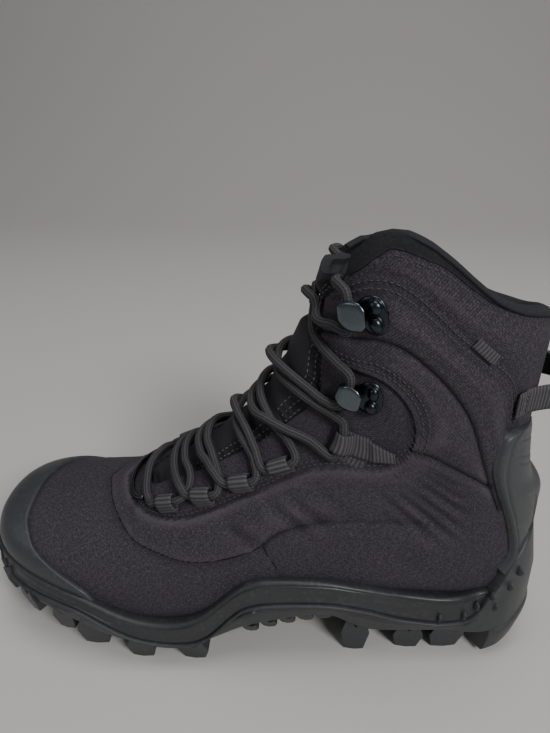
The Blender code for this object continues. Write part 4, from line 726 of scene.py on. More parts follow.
def beside(rows, turns, offset, side):
    """A run of places moved sideways over the last by offset, away from the ridge. The sideways step is
    square to the run and to the normal, and is turned into rows and turns by the last's two directions
    there."""
    step = 0.004
    along = (last_point(rows + step, turns) - last_point(rows - step, turns)) / (2 * step)
    around = (last_point(rows, turns + step) - last_point(rows, turns - step)) / (2 * step)
    run = unit(np.gradient(last_point(rows, turns), axis=0))
    across = unit(np.cross(normal(rows, turns), run)) * side
    steps = np.linalg.pinv(np.stack([along, around], -1))
    moved = np.einsum("nij,nj->ni", steps, across * np.asarray(offset, float))
    return rows + moved[:, 0], turns + moved[:, 1]


def on_cloth(rows, turns, lift):
    """Points of the upper's outer face, moved out by lift, with the cuff's shift."""
    points = skin(rows, turns, relief(rows, turns) + lift)
    points[:, 2] += cuff_shift(rows, turns)
    return points


def evenly(points, step):
    """Points a step apart along a line, and its directions there."""
    lengths = np.concatenate([[0], np.cumsum(np.linalg.norm(np.diff(points, axis=0), axis=1))])
    spots = np.arange(step / 2, lengths[-1], step)
    run = unit(np.gradient(points, axis=0))
    return (np.stack([np.interp(spots, lengths, points[:, k]) for k in range(3)], -1),
            unit(np.stack([np.interp(spots, lengths, run[:, k]) for k in range(3)], -1)),
            spots / lengths[-1])


def dashes(line, out, length, pitch, radius):
    """Stitches along a line whose normals are out: each is one small lengthened ball, set along the line."""
    spots, run, share = evenly(line, pitch)
    marks = np.arange(len(line)) / (len(line) - 1)
    out = unit(np.stack([np.interp(share, marks, part) for part in out.T], -1))
    side = unit(np.cross(out, run))
    ball = np.linspace(0, np.pi, 5)
    ring = np.arange(6) * np.pi / 3
    a = np.repeat(-np.cos(ball)[:, None], 6, 1) * length / 2
    b = np.sin(ball)[:, None] ** 0.7 * np.cos(ring) * radius
    c = np.sin(ball)[:, None] ** 0.7 * np.sin(ring) * radius
    points = sum(v[:, None, None, :] * w[None, ..., None] for v, w in ((run, a), (side, b), (out, c)))
    points = (points + spots[:, None, None, :]).reshape(len(spots), 30, 3)
    faces = grid_faces(5, 6, wrap=True)[:, ::-1]
    every = (np.arange(len(spots)) * 30)[:, None, None] + faces
    return points.reshape(-1, 3), every.reshape(-1, 4)


def stitch_row(rows, turns, lift=0.1, length=STITCH_LENGTH, pitch=STITCH_PITCH, radius=THREAD,
               surface=on_cloth):
    """Stitches along a run of places on a surface."""
    return dashes(surface(rows, turns, lift), normal(rows, turns), length, pitch, radius)


def tube(points, radius, sides=6, around=0.0):
    """A tube of rings along a line. Each ring stands square to the line, turned from an upright that is kept
    as level as it can be, and both ends are closed to a point. radius may vary along the line and
    round it."""
    run = unit(np.gradient(points, axis=0))
    level = np.array([0.0, 0.0, 1.0]) + 0 * run
    level = np.where(np.abs(run @ [0, 0, 1.0])[:, None] > 0.95, np.array([1.0, 0, 0]), level)
    one = np.zeros_like(run)
    carried = unit(np.cross(run[0], level[0]))
    for k, forward in enumerate(run):
        carried = unit(carried - forward * (carried @ forward))
        one[k] = carried
    two = np.cross(run, one)
    angles = np.arange(sides) * 2 * np.pi / sides + around
    radius = np.broadcast_to(np.asarray(radius, float), (len(points), sides))
    rings = points[:, None] + radius[..., None] * (
        np.cos(angles)[None, :, None] * one[:, None] + np.sin(angles)[None, :, None] * two[:, None]
    )
    start, end = np.repeat(points[:1, None], sides, 1), np.repeat(points[-1:, None], sides, 1)
    rings = np.concatenate([start, rings, end])
    lengths = np.concatenate([[0], np.cumsum(np.linalg.norm(np.diff(points, axis=0), axis=1))])
    lengths = np.concatenate([lengths[:1], lengths, lengths[-1:]])
    places = np.stack(np.broadcast_arrays(lengths[:, None], np.arange(sides)[None, :] / sides), -1)
    return rings, grid_faces(*rings.shape[:2], wrap=True)[:, ::-1], places


THREAD_DARK, THREAD_LIGHT = (0.034, 0.032, 0.037), (0.095, 0.088, 0.098)
SEAM_DARK, SEAM_LIGHT = (0.006, 0.006, 0.007), (0.018, 0.016, 0.019)
THREAD_FINISH = speckled("sewing_thread", (0.1, 0.094, 0.1), 0.6, (2600.0, 2.0, 0.6), THREAD_DARK,
                         THREAD_LIGHT, (0.4, 0.0001), specular=0.4)
SEAM_FINISH = speckled("seam_shadow", (0.010, 0.010, 0.011), 0.95, (1300.0, 2.0, 0.5), SEAM_DARK, SEAM_LIGHT,
                       specular=0.1)


def throat_side_places(side, offset, low=10.95, high=13.7):
    """A run beside the throat's edge from one row to another."""
    rows = np.linspace(low, high, 60)
    return beside(rows, 1 - side * throat_edge(rows), offset, side)


# Each seam that shows a dark line: how high the line lies, and its radius as a share of LINE_THREAD.
SEAM_LINES = [(LEAF_SEAM, -0.05, 1.0), (OVERLAY_SEAM, -0.05, 0.75), (SHORT_SEAM, 0.0, 0.9)]
SEAM_LINES += [(ANKLE_SEAM, 0.0, 0.9), (LOWER_ANKLE_SEAM, 0.0, 0.9), (CUFF_SEAM, -0.05, 0.7)]
# Each stitched seam: how far beside it the rows of stitches run, and the thread's radius.
STITCHED = [(FACING_SEAM[1:], (2.1, 4.0), THREAD), (LEAF_SEAM[:-1], (-3.0, -5.0), THREAD)]
STITCHED += [(BAND_SEAM, (-1.2, 1.3), 0.3), (CUFF_SEAM[:-1], (-1.3,), 0.24)]
BESIDE_THROAT = (3.0, 5.3)


def seam_lines():
    """Dark tubes laid in the seams' troughs."""
    parts = []
    for side in (1, -1):
        for seam, lift, thick in SEAM_LINES:
            rows, turns = seam_places(seam, side, 160)
            parts.append(tube(on_cloth(rows, turns, lift), LINE_THREAD * thick))
    return parts


def all_stitches():
    """The rows of stitches beside the seams and the throat's edge, on both sides."""
    parts = []
    for side in (1, -1):
        for seam, offsets, thick in STITCHED:
            rows, turns = seam_places(seam, side, 200)
            for offset in offsets:
                parts.append(stitch_row(*beside(rows, turns, offset, side), radius=thick))
        for offset in BESIDE_THROAT:
            parts.append(stitch_row(*throat_side_places(side, offset)))
    return parts


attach(piece("upper_seam_lines", seam_lines(), SEAM_FINISH), "root")
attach(piece("upper_stitches", all_stitches(), THREAD_FINISH), "root")

# ---------------------------------------------------------------- the sole
# The midsole and the outsole are moulded rubber, cemented to the upper. The midsole's side is a smooth wave
# with a rounded lip. The outsole carries the lugs, climbs the back of the heel, and is drawn up at the arch.

SPINE_TOE, SPINE_HEEL = np.array([-90.0, 4.0]), np.array([94.0, 0.0])
SOLE = np.array(
    [
        # x, edge, arch, line, shelf, base, tread
        [-148.0, 47.0, 0.0, 36.0, 37.0, 33.0, 25.0],
        [-136.0, 46.0, 0.0, 34.5, 35.0, 31.0, 22.5],
        [-124.0, 44.0, 0.0, 34.0, 32.0, 28.0, 20.0],
        [-110.0, 42.0, 0.0, 34.0, 28.0, 24.5, 16.0],
        [-98.0, 40.0, 0.0, 33.0, 24.0, 20.0, 11.0],
        [-86.0, 38.0, 0.0, 31.0, 20.0, 15.5, 5.0],
        [-74.0, 34.0, 0.0, 25.0, 16.5, 12.0, 0.0],
        [-62.0, 29.5, 0.0, 19.0, 14.0, 10.5, 0.0],
        [-50.0, 27.0, 0.5, 16.5, 14.0, 10.5, 0.0],
        [-38.0, 27.5, 1.5, 15.5, 14.5, 11.0, 0.0],
        [-26.0, 32.5, 3.0, 17.5, 17.0, 12.0, 0.0],
        [-17.0, 42.0, 3.5, 27.0, 20.0, 16.0, 10.0],
        [-9.0, 50.5, 3.5, 38.0, 23.0, 21.0, 15.0],
        [0.0, 56.0, 3.0, 42.5, 26.0, 24.0, 18.0],
        [18.0, 56.5, 3.0, 43.5, 29.5, 27.5, 21.0],
        [36.0, 55.5, 2.5, 43.0, 31.0, 29.0, 22.5],
        [44.0, 53.5, 2.0, 41.5, 30.0, 24.0, 0.0],
        [54.0, 51.0, 1.0, 38.0, 27.0, 16.5, 0.0],
        [70.0, 46.0, 0.0, 31.5, 25.0, 14.5, 0.0],
        [90.0, 42.0, 0.0, 27.0, 24.0, 14.0, 0.0],
        [104.0, 43.5, 0.0, 29.0, 24.5, 14.0, 0.0],
        [112.0, 48.0, 0.0, 33.5, 25.5, 14.5, 0.5],
        [120.0, 58.0, 0.0, 41.5, 27.0, 15.5, 3.5],
        [129.0, 69.0, 0.0, 50.0, 30.0, 18.5, 8.0],
        [138.0, 74.5, 0.0, 56.0, 35.0, 25.0, 14.0],
    ]
)
EDGE, ARCH, LINE, SHELF, BASE, TREAD = range(1, 7)
RAND, LIP, OUTSOLE_RAND, HEEL_KICK = 4.8, 3.0, 5.8, 1.8
CUP_FROM, CUP_FULL = 0.86, 0.55
FOOT_HEIGHT = 30.0  # where the last's width is read for what lies under it


def inside_last(x, y, z):
    """Whether points are inside the last: the section through each is found by halving, then the point is
    tested against that section's width."""
    low, high = np.zeros_like(x), np.full_like(x, TOP)
    for _ in range(20):
        middle = (low + high) / 2
        front_x, front_z, back_x, back_z = section(middle)[:4]
        ahead = (front_x - back_x) * (z - back_z) - (front_z - back_z) * (x - back_x) > 0
        low, high = np.where(ahead, low, middle), np.where(ahead, middle, high)
    front_x, front_z, back_x, back_z, mid, outer, inner, wide, square_low, square_high = section(low)
    length = np.maximum((front_x - back_x) ** 2 + (front_z - back_z) ** 2, 1e-9)
    share = ((x - back_x) * (front_x - back_x) + (z - back_z) * (front_z - back_z)) / length
    below = share < wide
    power = np.where(below, square_low, square_high)
    reach = np.clip(np.where(below, (wide - share) / wide, (share - wide) / (1 - wide)), 0.0, 1.0)
    width = np.where(y > mid, inner, outer) * (1 - reach**power) ** (1 / power)
    return (share > 0) & (share < 1) & (np.abs(y - mid) < width)


def compass(place):
    """Spine point and outward direction at a place round the sole. 0 is the back of the heel, 1 to 2 the
    outer side from heel to toe, 3 the tip, 4 to 5 the inner side from toe to heel, and 6 the back again."""
    place = np.mod(np.asarray(place, float), 6.0)
    legs = [place < 1, place < 2, place < 4, place < 5]
    angle = np.pi / 2 * np.select(legs, [place, 1.0, place - 1.0, 3.0], place - 2.0)
    share = np.select(legs, [0.0, place - 1, 1.0, 5 - place], 0.0)
    centre = SPINE_HEEL + (SPINE_TOE - SPINE_HEEL) * share[..., None]
    return centre, np.stack([np.cos(angle), -np.sin(angle)], -1)


def side_x(place, reach):
    """x at places round the sole, a reach out from its spine."""
    centre, direction = compass(place)
    return centre[..., 0] + reach * direction[..., 0]


RADIUS_PLACES, RADIUS_HEIGHTS = np.linspace(0, 6, 241), np.linspace(20, 90, 29)


def radius_table():
    """The last's distance from the spine at a net of places and heights, found by halving."""
    place, z = np.meshgrid(RADIUS_PLACES, RADIUS_HEIGHTS, indexing="ij")
    centre, direction = compass(place)
    near, far = np.zeros_like(z), np.full_like(z, 80.0)
    for _ in range(15):
        middle = (near + far) / 2
        spot = centre + direction * middle[..., None]
        held = inside_last(spot[..., 0], spot[..., 1], z)
        near, far = np.where(held, middle, near), np.where(held, far, middle)
    return near


RADII = radius_table()


def radius_at(place, height):
    """Distance from the spine to the last at a height, or to its widest below where it narrows: read from
    the net between its four nearest knots."""
    place, height = np.broadcast_arrays(np.mod(np.asarray(place, float), 6.0), np.asarray(height, float))
    x = side_x(place, 45.0)
    widest = np.interp(x, SOLE[:, 0], SOLE[:, SHELF]) + 20.0 - 9.0 * smooth((-95.0 - x) / 35.0)
    at = place / 6.0 * (len(RADIUS_PLACES) - 1)
    up = (np.clip(np.maximum(height, widest), 20, 90) - 20) / 70.0 * (len(RADIUS_HEIGHTS) - 1)
    i = np.minimum(at.astype(int), len(RADIUS_PLACES) - 2)
    k = np.minimum(up.astype(int), len(RADIUS_HEIGHTS) - 2)
    s, t = at - i, up - k
    low = RADII[i, k] * (1 - s) + RADII[i + 1, k] * s
    high = RADII[i, k + 1] * (1 - s) + RADII[i + 1, k + 1] * s
    return low * (1 - t) + high * t


def height_at(column, x):
    """A column of the sole's table at an x, rounded by averaging over 5 mm each way."""
    spread = np.linspace(-5, 5, 5)
    return np.mean([np.interp(x + s, SOLE[:, 0], SOLE[:, column]) for s in spread], 0)


def sole_height(column, place):
    """A column of the sole's table at places round it. The midsole's edge also rises at the arch."""
    centre, direction = compass(place)
    x = centre[..., 0] + direction[..., 0] * 50.0
    height = height_at(column, x)
    if column == EDGE:
        height = height + smooth((direction[..., 1] + 0.2) / 0.6) * height_at(ARCH, x)
    return height


def side_points(place, height, stand_out):
    """Points round the sole's side at heights, standing out from the last."""
    given = [np.asarray(value, float) for value in (place, height, stand_out)]
    place, height, stand_out = np.broadcast_arrays(*given)
    centre, direction = compass(place)
    flat = centre + direction * (radius_at(place, height) + stand_out)[..., None]
    return np.concatenate([flat, height[..., None]], -1)


def under_points(place, fraction, column, shift=0.0):
    """Points under the foot, a fraction of the way from the spine to the side, at a height of the table."""
    centre, direction = compass(place)
    flat = centre + direction * (radius_at(place, np.full(len(place), FOOT_HEIGHT)) * fraction)[..., None]
    return np.column_stack([flat, height_at(column, flat[:, 0]) + shift])


# How far the sole's foot is drawn in under its side, by x: more beside the heel than beside the ball.
DRAWN_IN = np.array([[-110.0, 0.0], [-90.0, 3.0], [0.0, 3.0], [40.0, 6.0], [100.0, 6.0], [125.0, 0.5]])


def drawn_in(place):
    """How far the sole's foot is drawn in at a place round it."""
    return np.interp(side_x(place, 50.0), DRAWN_IN[:, 0], DRAWN_IN[:, 1])


def back_of_heel(place, wide, narrow):
    """1 at the back of the heel, 0 forward of the place wide."""
    away = np.minimum(np.mod(place, 6), 6 - np.mod(place, 6))
    return smooth((wide - away) / (wide - narrow))


AROUND = np.concatenate(
    [np.linspace(0, 1, 61)[:-1], np.linspace(1, 2, 131)[:-1], np.linspace(2, 4, 121)[:-1]]
    + [np.linspace(4, 5, 131)[:-1], np.linspace(5, 6, 61)[:-1]]
)
CUP = back_of_heel(AROUND, CUP_FROM, CUP_FULL)
TOE_SHARE = smooth((-105 - compass(AROUND)[0][:, 0] - 40 * compass(AROUND)[1][:, 0]) / 25)


def rubber_finish(name, colour, roughness, grain):
    """Moulded rubber: a fine grain, faint clouds of dust and a satin sheen that varies."""
    made, tree, shader = finish(name, colour, roughness, specular=0.45)
    place = object_place(tree)
    wear = use_group(tree, WEAR, place)
    lighter = tuple(c * 1.7 for c in colour)
    tone = blended(tree, maths(tree, "MULTIPLY", wear.outputs["Clouds"], 0.45), colour, lighter)
    tone = blended(tree, maths(tree, "MULTIPLY", wear.outputs["Specks"], 0.22), tone, (0.14, 0.14, 0.14))
    tree.links.new(tone, shader.inputs["Base Color"])
    tree.links.new(ramp(tree, wear.outputs["Clouds"], 0.0, 1.0, roughness - 0.07, roughness + 0.1),
                   shader.inputs["Roughness"])
    fine = noise(tree, place, 1500.0, 2.0, 0.6)
    bumped(tree, shader, fine, grain, 0.00015)
    return made


MIDSOLE_FINISH = rubber_finish("midsole_rubber", (0.026, 0.0275, 0.030), 0.42, 0.25)
OUTSOLE_FINISH = rubber_finish("outsole_rubber", (0.030, 0.033, 0.036), 0.46, 0.45)
BUMPER_FINISH = rubber_finish("bumper_rubber", (0.033, 0.036, 0.040), 0.42, 0.3)


def sole_body(rings):
    """A closed body through rings round the sole, mapped by place round it and height."""
    points = np.array(rings)
    places = np.stack([np.broadcast_to(AROUND * 60, points.shape[:2]), points[..., 2]], -1)
    return [(points, grid_faces(*points.shape[:2], wrap=True)[:, ::-1], places)]


def midsole():
    """Rings round the sole, from the middle underneath, up the side and over the lip to the middle again.
    The side leans in a little towards the top, is pressed in a shallow step under the lip, and its edges are
    rounded by close rings."""
    edge = sole_height(EDGE, AROUND) * (1 - CUP) + (sole_height(SHELF, AROUND) + 12) * CUP
    line = sole_height(LINE, AROUND) * (1 - CUP) + (sole_height(SHELF, AROUND) + 3) * CUP
    shelf = sole_height(SHELF, AROUND)
    rand, lip = RAND * (1 - CUP) + 1.8 * CUP, LIP * (1 - CUP) + 1.6 * CUP
    top = lip + TOE_SHARE * 1.2
    tall = edge - line
    side = [
        # height, how far it stands out from the last
        (np.minimum(shelf + 1.0, line - 1.5), rand * 0.3),
        (line - 0.2, rand * 0.9),
        (line + 0.1, rand + 0.1),
        (line + 0.8, rand + 0.35),
        (line + 1.8, rand + 0.2),
        (line + 0.2 * tall, rand - 0.1),
        (line + 0.35 * tall, rand - 0.35),
        (line + 0.5 * tall, rand - 0.5),
        (line + 0.65 * tall, rand * 0.9 + top * 0.1 - 0.5),
        (line + 0.8 * tall, rand * 0.8 + top * 0.2 - 0.4),
        (edge - 2.6, rand * 0.6 + top * 0.4 - 0.5),
        (edge - 1.9, rand * 0.5 + top * 0.5 + 0.1),
        (edge - 1.2, rand * 0.5 + top * 0.5 + 0.65),
        (edge - 0.5, rand * 0.4 + top * 0.6 + 0.6),
        (edge - 0.05, top + 0.15),
        (edge + 0.05, top - 0.9),
        (edge - 0.2, top - 1.9),
        (edge - 0.8, -6.0),
    ]
    rings = [under_points(AROUND, 0.0, SHELF), under_points(AROUND, 0.72, SHELF)]
    rings += [side_points(AROUND, height, stand_out) for height, stand_out in side]
    rings.append(under_points(AROUND, 0.0, EDGE, -2.0))
    return sole_body(rings)


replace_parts(piece("midsole_shell", midsole(), MIDSOLE_FINISH, out=True), "midsole")


SIDE_LUGS = [(107.0, 18.0, 8.0), (78.0, 15.5, 6.5), (50.5, 14.5, 8.5)]  # x, width, reach up the side
SIDE_LUGS += [(-31.0, 15.0, 4.0), (-58.0, 15.0, 6.5), (-83.0, 17.0, 10.5)]
TOE_LUGS = [10.0, 32.0, 54.0, 76.0]
CENTRE_LUGS = [-106.0, -87.0, -68.0, -49.0, -30.0, 60.0, 80.0, 100.0]
ARCH_LUGS = [0.0, 11.5, 22.5, 33.0]


def outsole():
    """Rings round the sole as the midsole's. Between the lugs its lower edge is scalloped upwards, and at the
    heel it climbs to the counter."""
    kick = HEEL_KICK * back_of_heel(AROUND, 1.0, 0.2)
    top = sole_height(LINE, AROUND) * (1 - CUP) + sole_height(EDGE, AROUND) * CUP - GAP
    base = sole_height(BASE, AROUND)
    rand = OUTSOLE_RAND - 1.6 * CUP
    full = OUTSOLE_RAND + kick
    drawn = drawn_in(AROUND)
    tall = top - base
    side = [
        # height, how far it stands out from the last
        (base + 0.4, 1.5 + kick - drawn),
        (base + 1.2, 3.6 + kick - 0.9 * drawn),
        (base + 2.4, 4.9 + kick - 0.8 * drawn),
        (base + np.minimum(4.0, tall * 0.5), full - 0.2 - 0.6 * drawn),
        (base + np.minimum(5.5, tall * 0.7), full - 0.45 * drawn),
        (base + np.maximum(tall * 0.55, np.minimum(6.0, tall * 0.75)),
         full - 0.6 * kick * CUP - 0.35 * drawn),
        (top - 0.22 * tall * CUP - 0.9, rand + kick * 0.3),
        (top - 1.5, rand - 0.1 + kick * 0.15 - 0.2 * CUP),
        (top - 0.8, rand + 0.75 - 0.9 * CUP),
        (top - 0.2, rand + 0.8 - 1.1 * CUP),
        (top + 0.1, rand + 0.2 - 1.3 * CUP),
        (top + 0.1, rand - 1.2 - 0.8 * CUP),
        (top + 0.3, -1.5),
    ]
    rings = [under_points(AROUND, 0.0, BASE), under_points(AROUND, 0.75, BASE)]
    rings += [side_points(AROUND, height, stand_out) for height, stand_out in side]
    rings.append(under_points(AROUND, 0.0, LINE, 2.0))
    return sole_body(rings)


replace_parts(piece("outsole_shell", outsole(), OUTSOLE_FINISH, out=True), "outsole")


# A side lug's outer face: across as a share of its width, up as a share of its height, and how far it stands
# out. Two facets meet in a sunk middle edge, and each climbs to a point.
LUG_FACE = [(-0.36, 0, -2.6), (0, 0, -2.0), (0.36, 0, -2.6), (0.5, 0.52, -0.5), (0.30, 1, 0.5)]
LUG_FACE += [(0, 0.68, -0.3), (-0.30, 1, 0.5), (-0.5, 0.52, -0.5)]
LUG_DEPTH, LUG_DRAWN = 15.0, 1.15
ARCH_STUDS = [-2.0, 7.0, 16.0, 25.0, 34.0]
ARCH_STUD = (8.2, 4.0, 3.6)  # width, how far it climbs the side, and how far it hangs below the sole
TOE_LUG = (12.0, 9.0)  # width, and how far it climbs the side


def side_place(x, inner):
    """The place round the sole beside an x: 1 to 2 on the outer side, 5 to 4 on the inner one."""
    share = (x - SPINE_HEEL[0]) / (SPINE_TOE[0] - SPINE_HEEL[0])
    return 5 - share if inner else 1 + share


def side_lug(place, width, reach, base, tread):
    """A closed body: its outer face at the sole's side, its back under the foot, and flat on the ground."""
    centre, direction = (part[0] for part in compass(np.array([place])))
    tangent = np.array([-direction[1], direction[0]])
    kick = HEEL_KICK * back_of_heel(np.array([place]), 1.0, 0.2)[0]
    face = radius_at(np.array([place]), np.array([FOOT_HEIGHT]))[0] + OUTSOLE_RAND + 1.2 + kick
    face -= LUG_DRAWN * drawn_in(np.array([place]))[0]
    across, up, proud = np.array(LUG_FACE).T
    front = centre + direction * (face + proud)[:, None] + tangent * (width * across)[:, None]
    back = centre + direction * (face - LUG_DEPTH) + tangent * (width * across * 0.94)[:, None]
    front = np.column_stack([front, tread + up * (base + reach - tread)])
    back = np.column_stack([back, tread + np.minimum(up, 0.72) * (base + 2.0 - tread)])
    points = np.vstack([front, back])
    ring = np.arange(8)
    sides = np.stack([ring, (ring + 1) % 8, (ring + 1) % 8 + 8, ring + 8], -1)
    caps = [[0, 1, 5, 7], [5, 6, 7, 7], [1, 2, 3, 5], [3, 4, 5, 5], [15, 13, 9, 8], [15, 14, 13, 13]]
    caps += [[13, 11, 10, 9], [13, 12, 11, 11]]
    return points, np.vstack([sides, caps])


def block(corners, low, high, taper):
    """A lug with straight sides on a plan of an even number of corners, drawn in at its foot by taper."""
    corners = np.asarray(corners, float)
    middle, count = corners.mean(0), len(corners)
    foot = middle + (corners - middle) * taper
    levels = [(foot, low), (corners, high)]
    points = np.vstack([np.column_stack([plan, np.full(count, z)]) for plan, z in levels])
    ring = np.arange(count)
    sides = np.stack([ring, (ring + 1) % count, (ring + 1) % count + count, ring + count], -1)
    fan = np.array([[0, k, k + 1, (k + 2) % count] for k in range(1, count - 2, 2)])
    caps = np.vstack([count - 1 - fan, fan + count])
    return points, np.vstack([sides, caps])


def heel_band(inner):
    """The curved lug that wraps each side of the heel's back edge: one profile at places round the heel."""
    rings = []
    for place in np.linspace(0.05, 0.66, 26):
        centre, direction = (part[0] for part in compass(np.array([6 - place if inner else place])))
        kick = HEEL_KICK * back_of_heel(np.array([place]), 1.0, 0.2)[0]
        face = radius_at(np.array([place]), np.array([FOOT_HEIGHT]))[0] + OUTSOLE_RAND + kick
        face -= drawn_in(np.array([place]))[0]
        x = (centre + direction * face)[0]
        low, high = height_at(TREAD, x), height_at(BASE, x)
        ring = [(face - 18, low), (face - 3.2, low), (face - 1.6, low + 0.35), (face - 0.4, low + 2.2)]
        ring += [(face + 1.0, high), (face + 1.1, high + 2.6), (face + 0.7, high + 4.6)]
        ring += [(face - 0.4, high + 6), (face - 18, high + 2)]
        rings.append([[*(centre + direction * away), height] for away, height in ring])
    points = np.array(rings)
    faces = grid_faces(*points.shape[:2], wrap=True)
    count, last = points.shape[1], points.shape[0] * points.shape[1]
    fan = np.array([[0, k, k + 1, k + 2] for k in range(1, count - 2, 2)])
    return points, np.vstack([faces, fan, last - count + fan[:, ::-1]])


def lugs():
    """The tread's closed bodies, at its edge and in its middle, with the band round the heel."""
    parts = []
    for inner in (False, True):
        for x, width, reach in SIDE_LUGS:
            base, low = height_at(BASE, x), height_at(TREAD, x)
            parts.append(side_lug(side_place(x, inner), width, reach, base, low))
        width, reach, depth = ARCH_STUD
        for x in ARCH_STUDS:
            base = height_at(BASE, x)
            parts.append(side_lug(side_place(x, inner), width, reach, base, base - depth))
        for angle in TOE_LUGS:
            place = 4 - angle / 90 if inner else 2 + angle / 90
            x = side_x(np.array([place]), 52.0)[0]
            parts.append(side_lug(place, *TOE_LUG, height_at(BASE, x), height_at(TREAD, x)))
        sign = 1 if inner else -1
        for x in CENTRE_LUGS:
            y = 2.0 + sign * 15
            plan = [(x - 6, y - 7), (x + 4, y - 7), (x + 8, y), (x + 4, y + 7), (x - 6, y + 7), (x - 2, y)]
            parts.append(block(plan, height_at(TREAD, x), height_at(BASE, x) + 2.5, 0.84))
        for x in ARCH_LUGS:
            y = sign * 33
            plan = [(x - 3.6, y - 4), (x + 3.6, y - 4), (x + 3.6, y + 4), (x - 3.6, y + 4)]
            parts.append(block(plan, height_at(TREAD, x), height_at(BASE, x) + 2.5, 0.9))
        parts.append(heel_band(inner))
    return parts


# Small studs on each side of the heel's wrap: place round the sole, and height.
HEEL_STUDS = [(1.02, 31.0), (0.88, 33.0), (0.80, 39.0), (0.70, 45.0), (0.58, 49.0), (0.66, 37.0)]
HEEL_STUDS += [(0.52, 57.0)]
STUD = (1.1, 2.3, 1.5)  # half width, half height and how far it stands out


def studs():
    """Low oval domes on the heel's wrap, leaning, with their feet sunk in it."""
    parts = []
    for inner in (False, True):
        for place, height in HEEL_STUDS:
            here = np.array([6 - place if inner else place])
            wall = radius_at(here, np.array([height]))[0] + OUTSOLE_RAND + 0.3 * HEEL_KICK - 0.6
            centre, direction = (part[0] for part in compass(here))
            tangent = np.array([-direction[1], direction[0]])
            bend, ring = np.linspace(0, np.pi / 2, 5)[:, None], np.arange(12) * np.pi / 6
            across, up = np.cos(bend) * np.cos(ring) * STUD[0], np.cos(bend) * np.sin(ring) * STUD[1]
            away = wall - 1.0 + (STUD[2] + 1.0) * np.sin(bend) + 0 * ring
            flat = centre + direction * away[..., None] + tangent * across[..., None]
            dome = np.concatenate([flat, (height + up + 0.8 * across)[..., None]], -1)
            foot = dome[:1] - np.append(direction * 0.8, 0.0)
            middle = np.repeat(foot.mean(1, keepdims=True), 12, 1)
            rings = np.concatenate([middle, foot, dome])
            parts.append((rings, grid_faces(*rings.shape[:2], wrap=True)))
    return parts


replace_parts(piece("heel_studs", studs(), OUTSOLE_FINISH, out=True), "outsole")


def rounded_edges(obj, width, steps=2, angle=25.0):
    """Rounds the sharp edges of a piece by a width in millimetres."""
    rounding = obj.modifiers.new("rounded_edges", "BEVEL")
    rounding.width, rounding.segments, rounding.limit_method = width * MM, steps, "ANGLE"
    rounding.angle_limit = np.radians(angle)
    rounding.harden_normals = True


tread = piece("outsole_lugs", lugs(), OUTSOLE_FINISH, out=True)
rounded_edges(tread, 0.45)
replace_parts(tread, "outsole")

# ---------------------------------------------------------------- toe bumper and heel counter
# Two moulded rubber caps cemented over the cloth: one wraps the toe down to the midsole, the other stands up
# the back of the heel with a raised rim and a crescent spur.

BUMPER = np.array(
    [[0.0, 4.2], [0.35, 4.0], [0.5, 3.6], [0.57, 3.0], [0.64, 2.56], [0.78, 2.25], [1.0, 2.2], [1.2, 2.35]]
    + [[1.34, 2.7], [1.45, 3.3], [1.54, 4.0], [1.66, 4.5], [2.0, 4.6]]
)  # turn, and the row of its edge
BUMPER_LIFT = 3.2
# Shares of the way to its edge, and how far its lift has fallen there.
BUMPER_FALL = ([0.5, 0.7, 0.9, 0.975, 0.99, 0.998, 1.0], [0, 0.2, 0.55, 0.8, 1.1, 1.6, 2.3])
COUNTER = np.array(
    [
        # row, half width, ridge
        [9.7, 0.325, 0.0],
        [10.2, 0.297, 0.0],
        [10.6, 0.297, 0.0],
        [10.9, 0.308, 0.25],
        [11.2, 0.322, 0.5],
        [11.45, 0.335, 0.75],
        [11.75, 0.343, 1.0],
        [12.0, 0.341, 0.15],
        [12.35, 0.322, 0.0],
        [12.7, 0.29, 0.0],
        [12.95, 0.21, 0.0],
        [13.05, 0.11, 0.0],
    ]
)
COUNTER_LIFT, COUNTER_RIM, SPUR_HALF, SPUR_DEPTH = 2.6, 0.9, 0.3, 5.5
COUNTER_GROOVES = [12.28, 12.42, 12.72]  # rows of the pressed lines near its top


def bumper():
    """Shares of the way from the tip to the bumper's edge, on turns from low on one side to low on the
    other. Its lift falls over the last share to the cloth, and its edge is rounded."""
    turns = np.concatenate([np.linspace(0.12, 1.0, 90), np.linspace(1.0, 1.88, 90)[1:]])
    share = np.concatenate([np.linspace(0.0, 0.9, 60), [0.93, 0.955, 0.975, 0.99, 0.998, 1.0, 1.0]])
    spread = np.linspace(-0.03, 0.03, 7)
    run = np.mean([np.interp(turns + s, BUMPER[:, 0], BUMPER[:, 1]) for s in spread], 0)
    rows = share[:, None] * run
    lift = BUMPER_LIFT - np.interp(share, *BUMPER_FALL)
    lift[-1] = 0.0
    grid, lift = np.broadcast_arrays(turns[None, :], lift[:, None])
    return [(skin(rows, grid, lift), grid_faces(*grid.shape), cloth_map(rows, grid))]


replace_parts(piece("toe_bumper_shell", bumper(), BUMPER_FINISH), "toe_bumper")


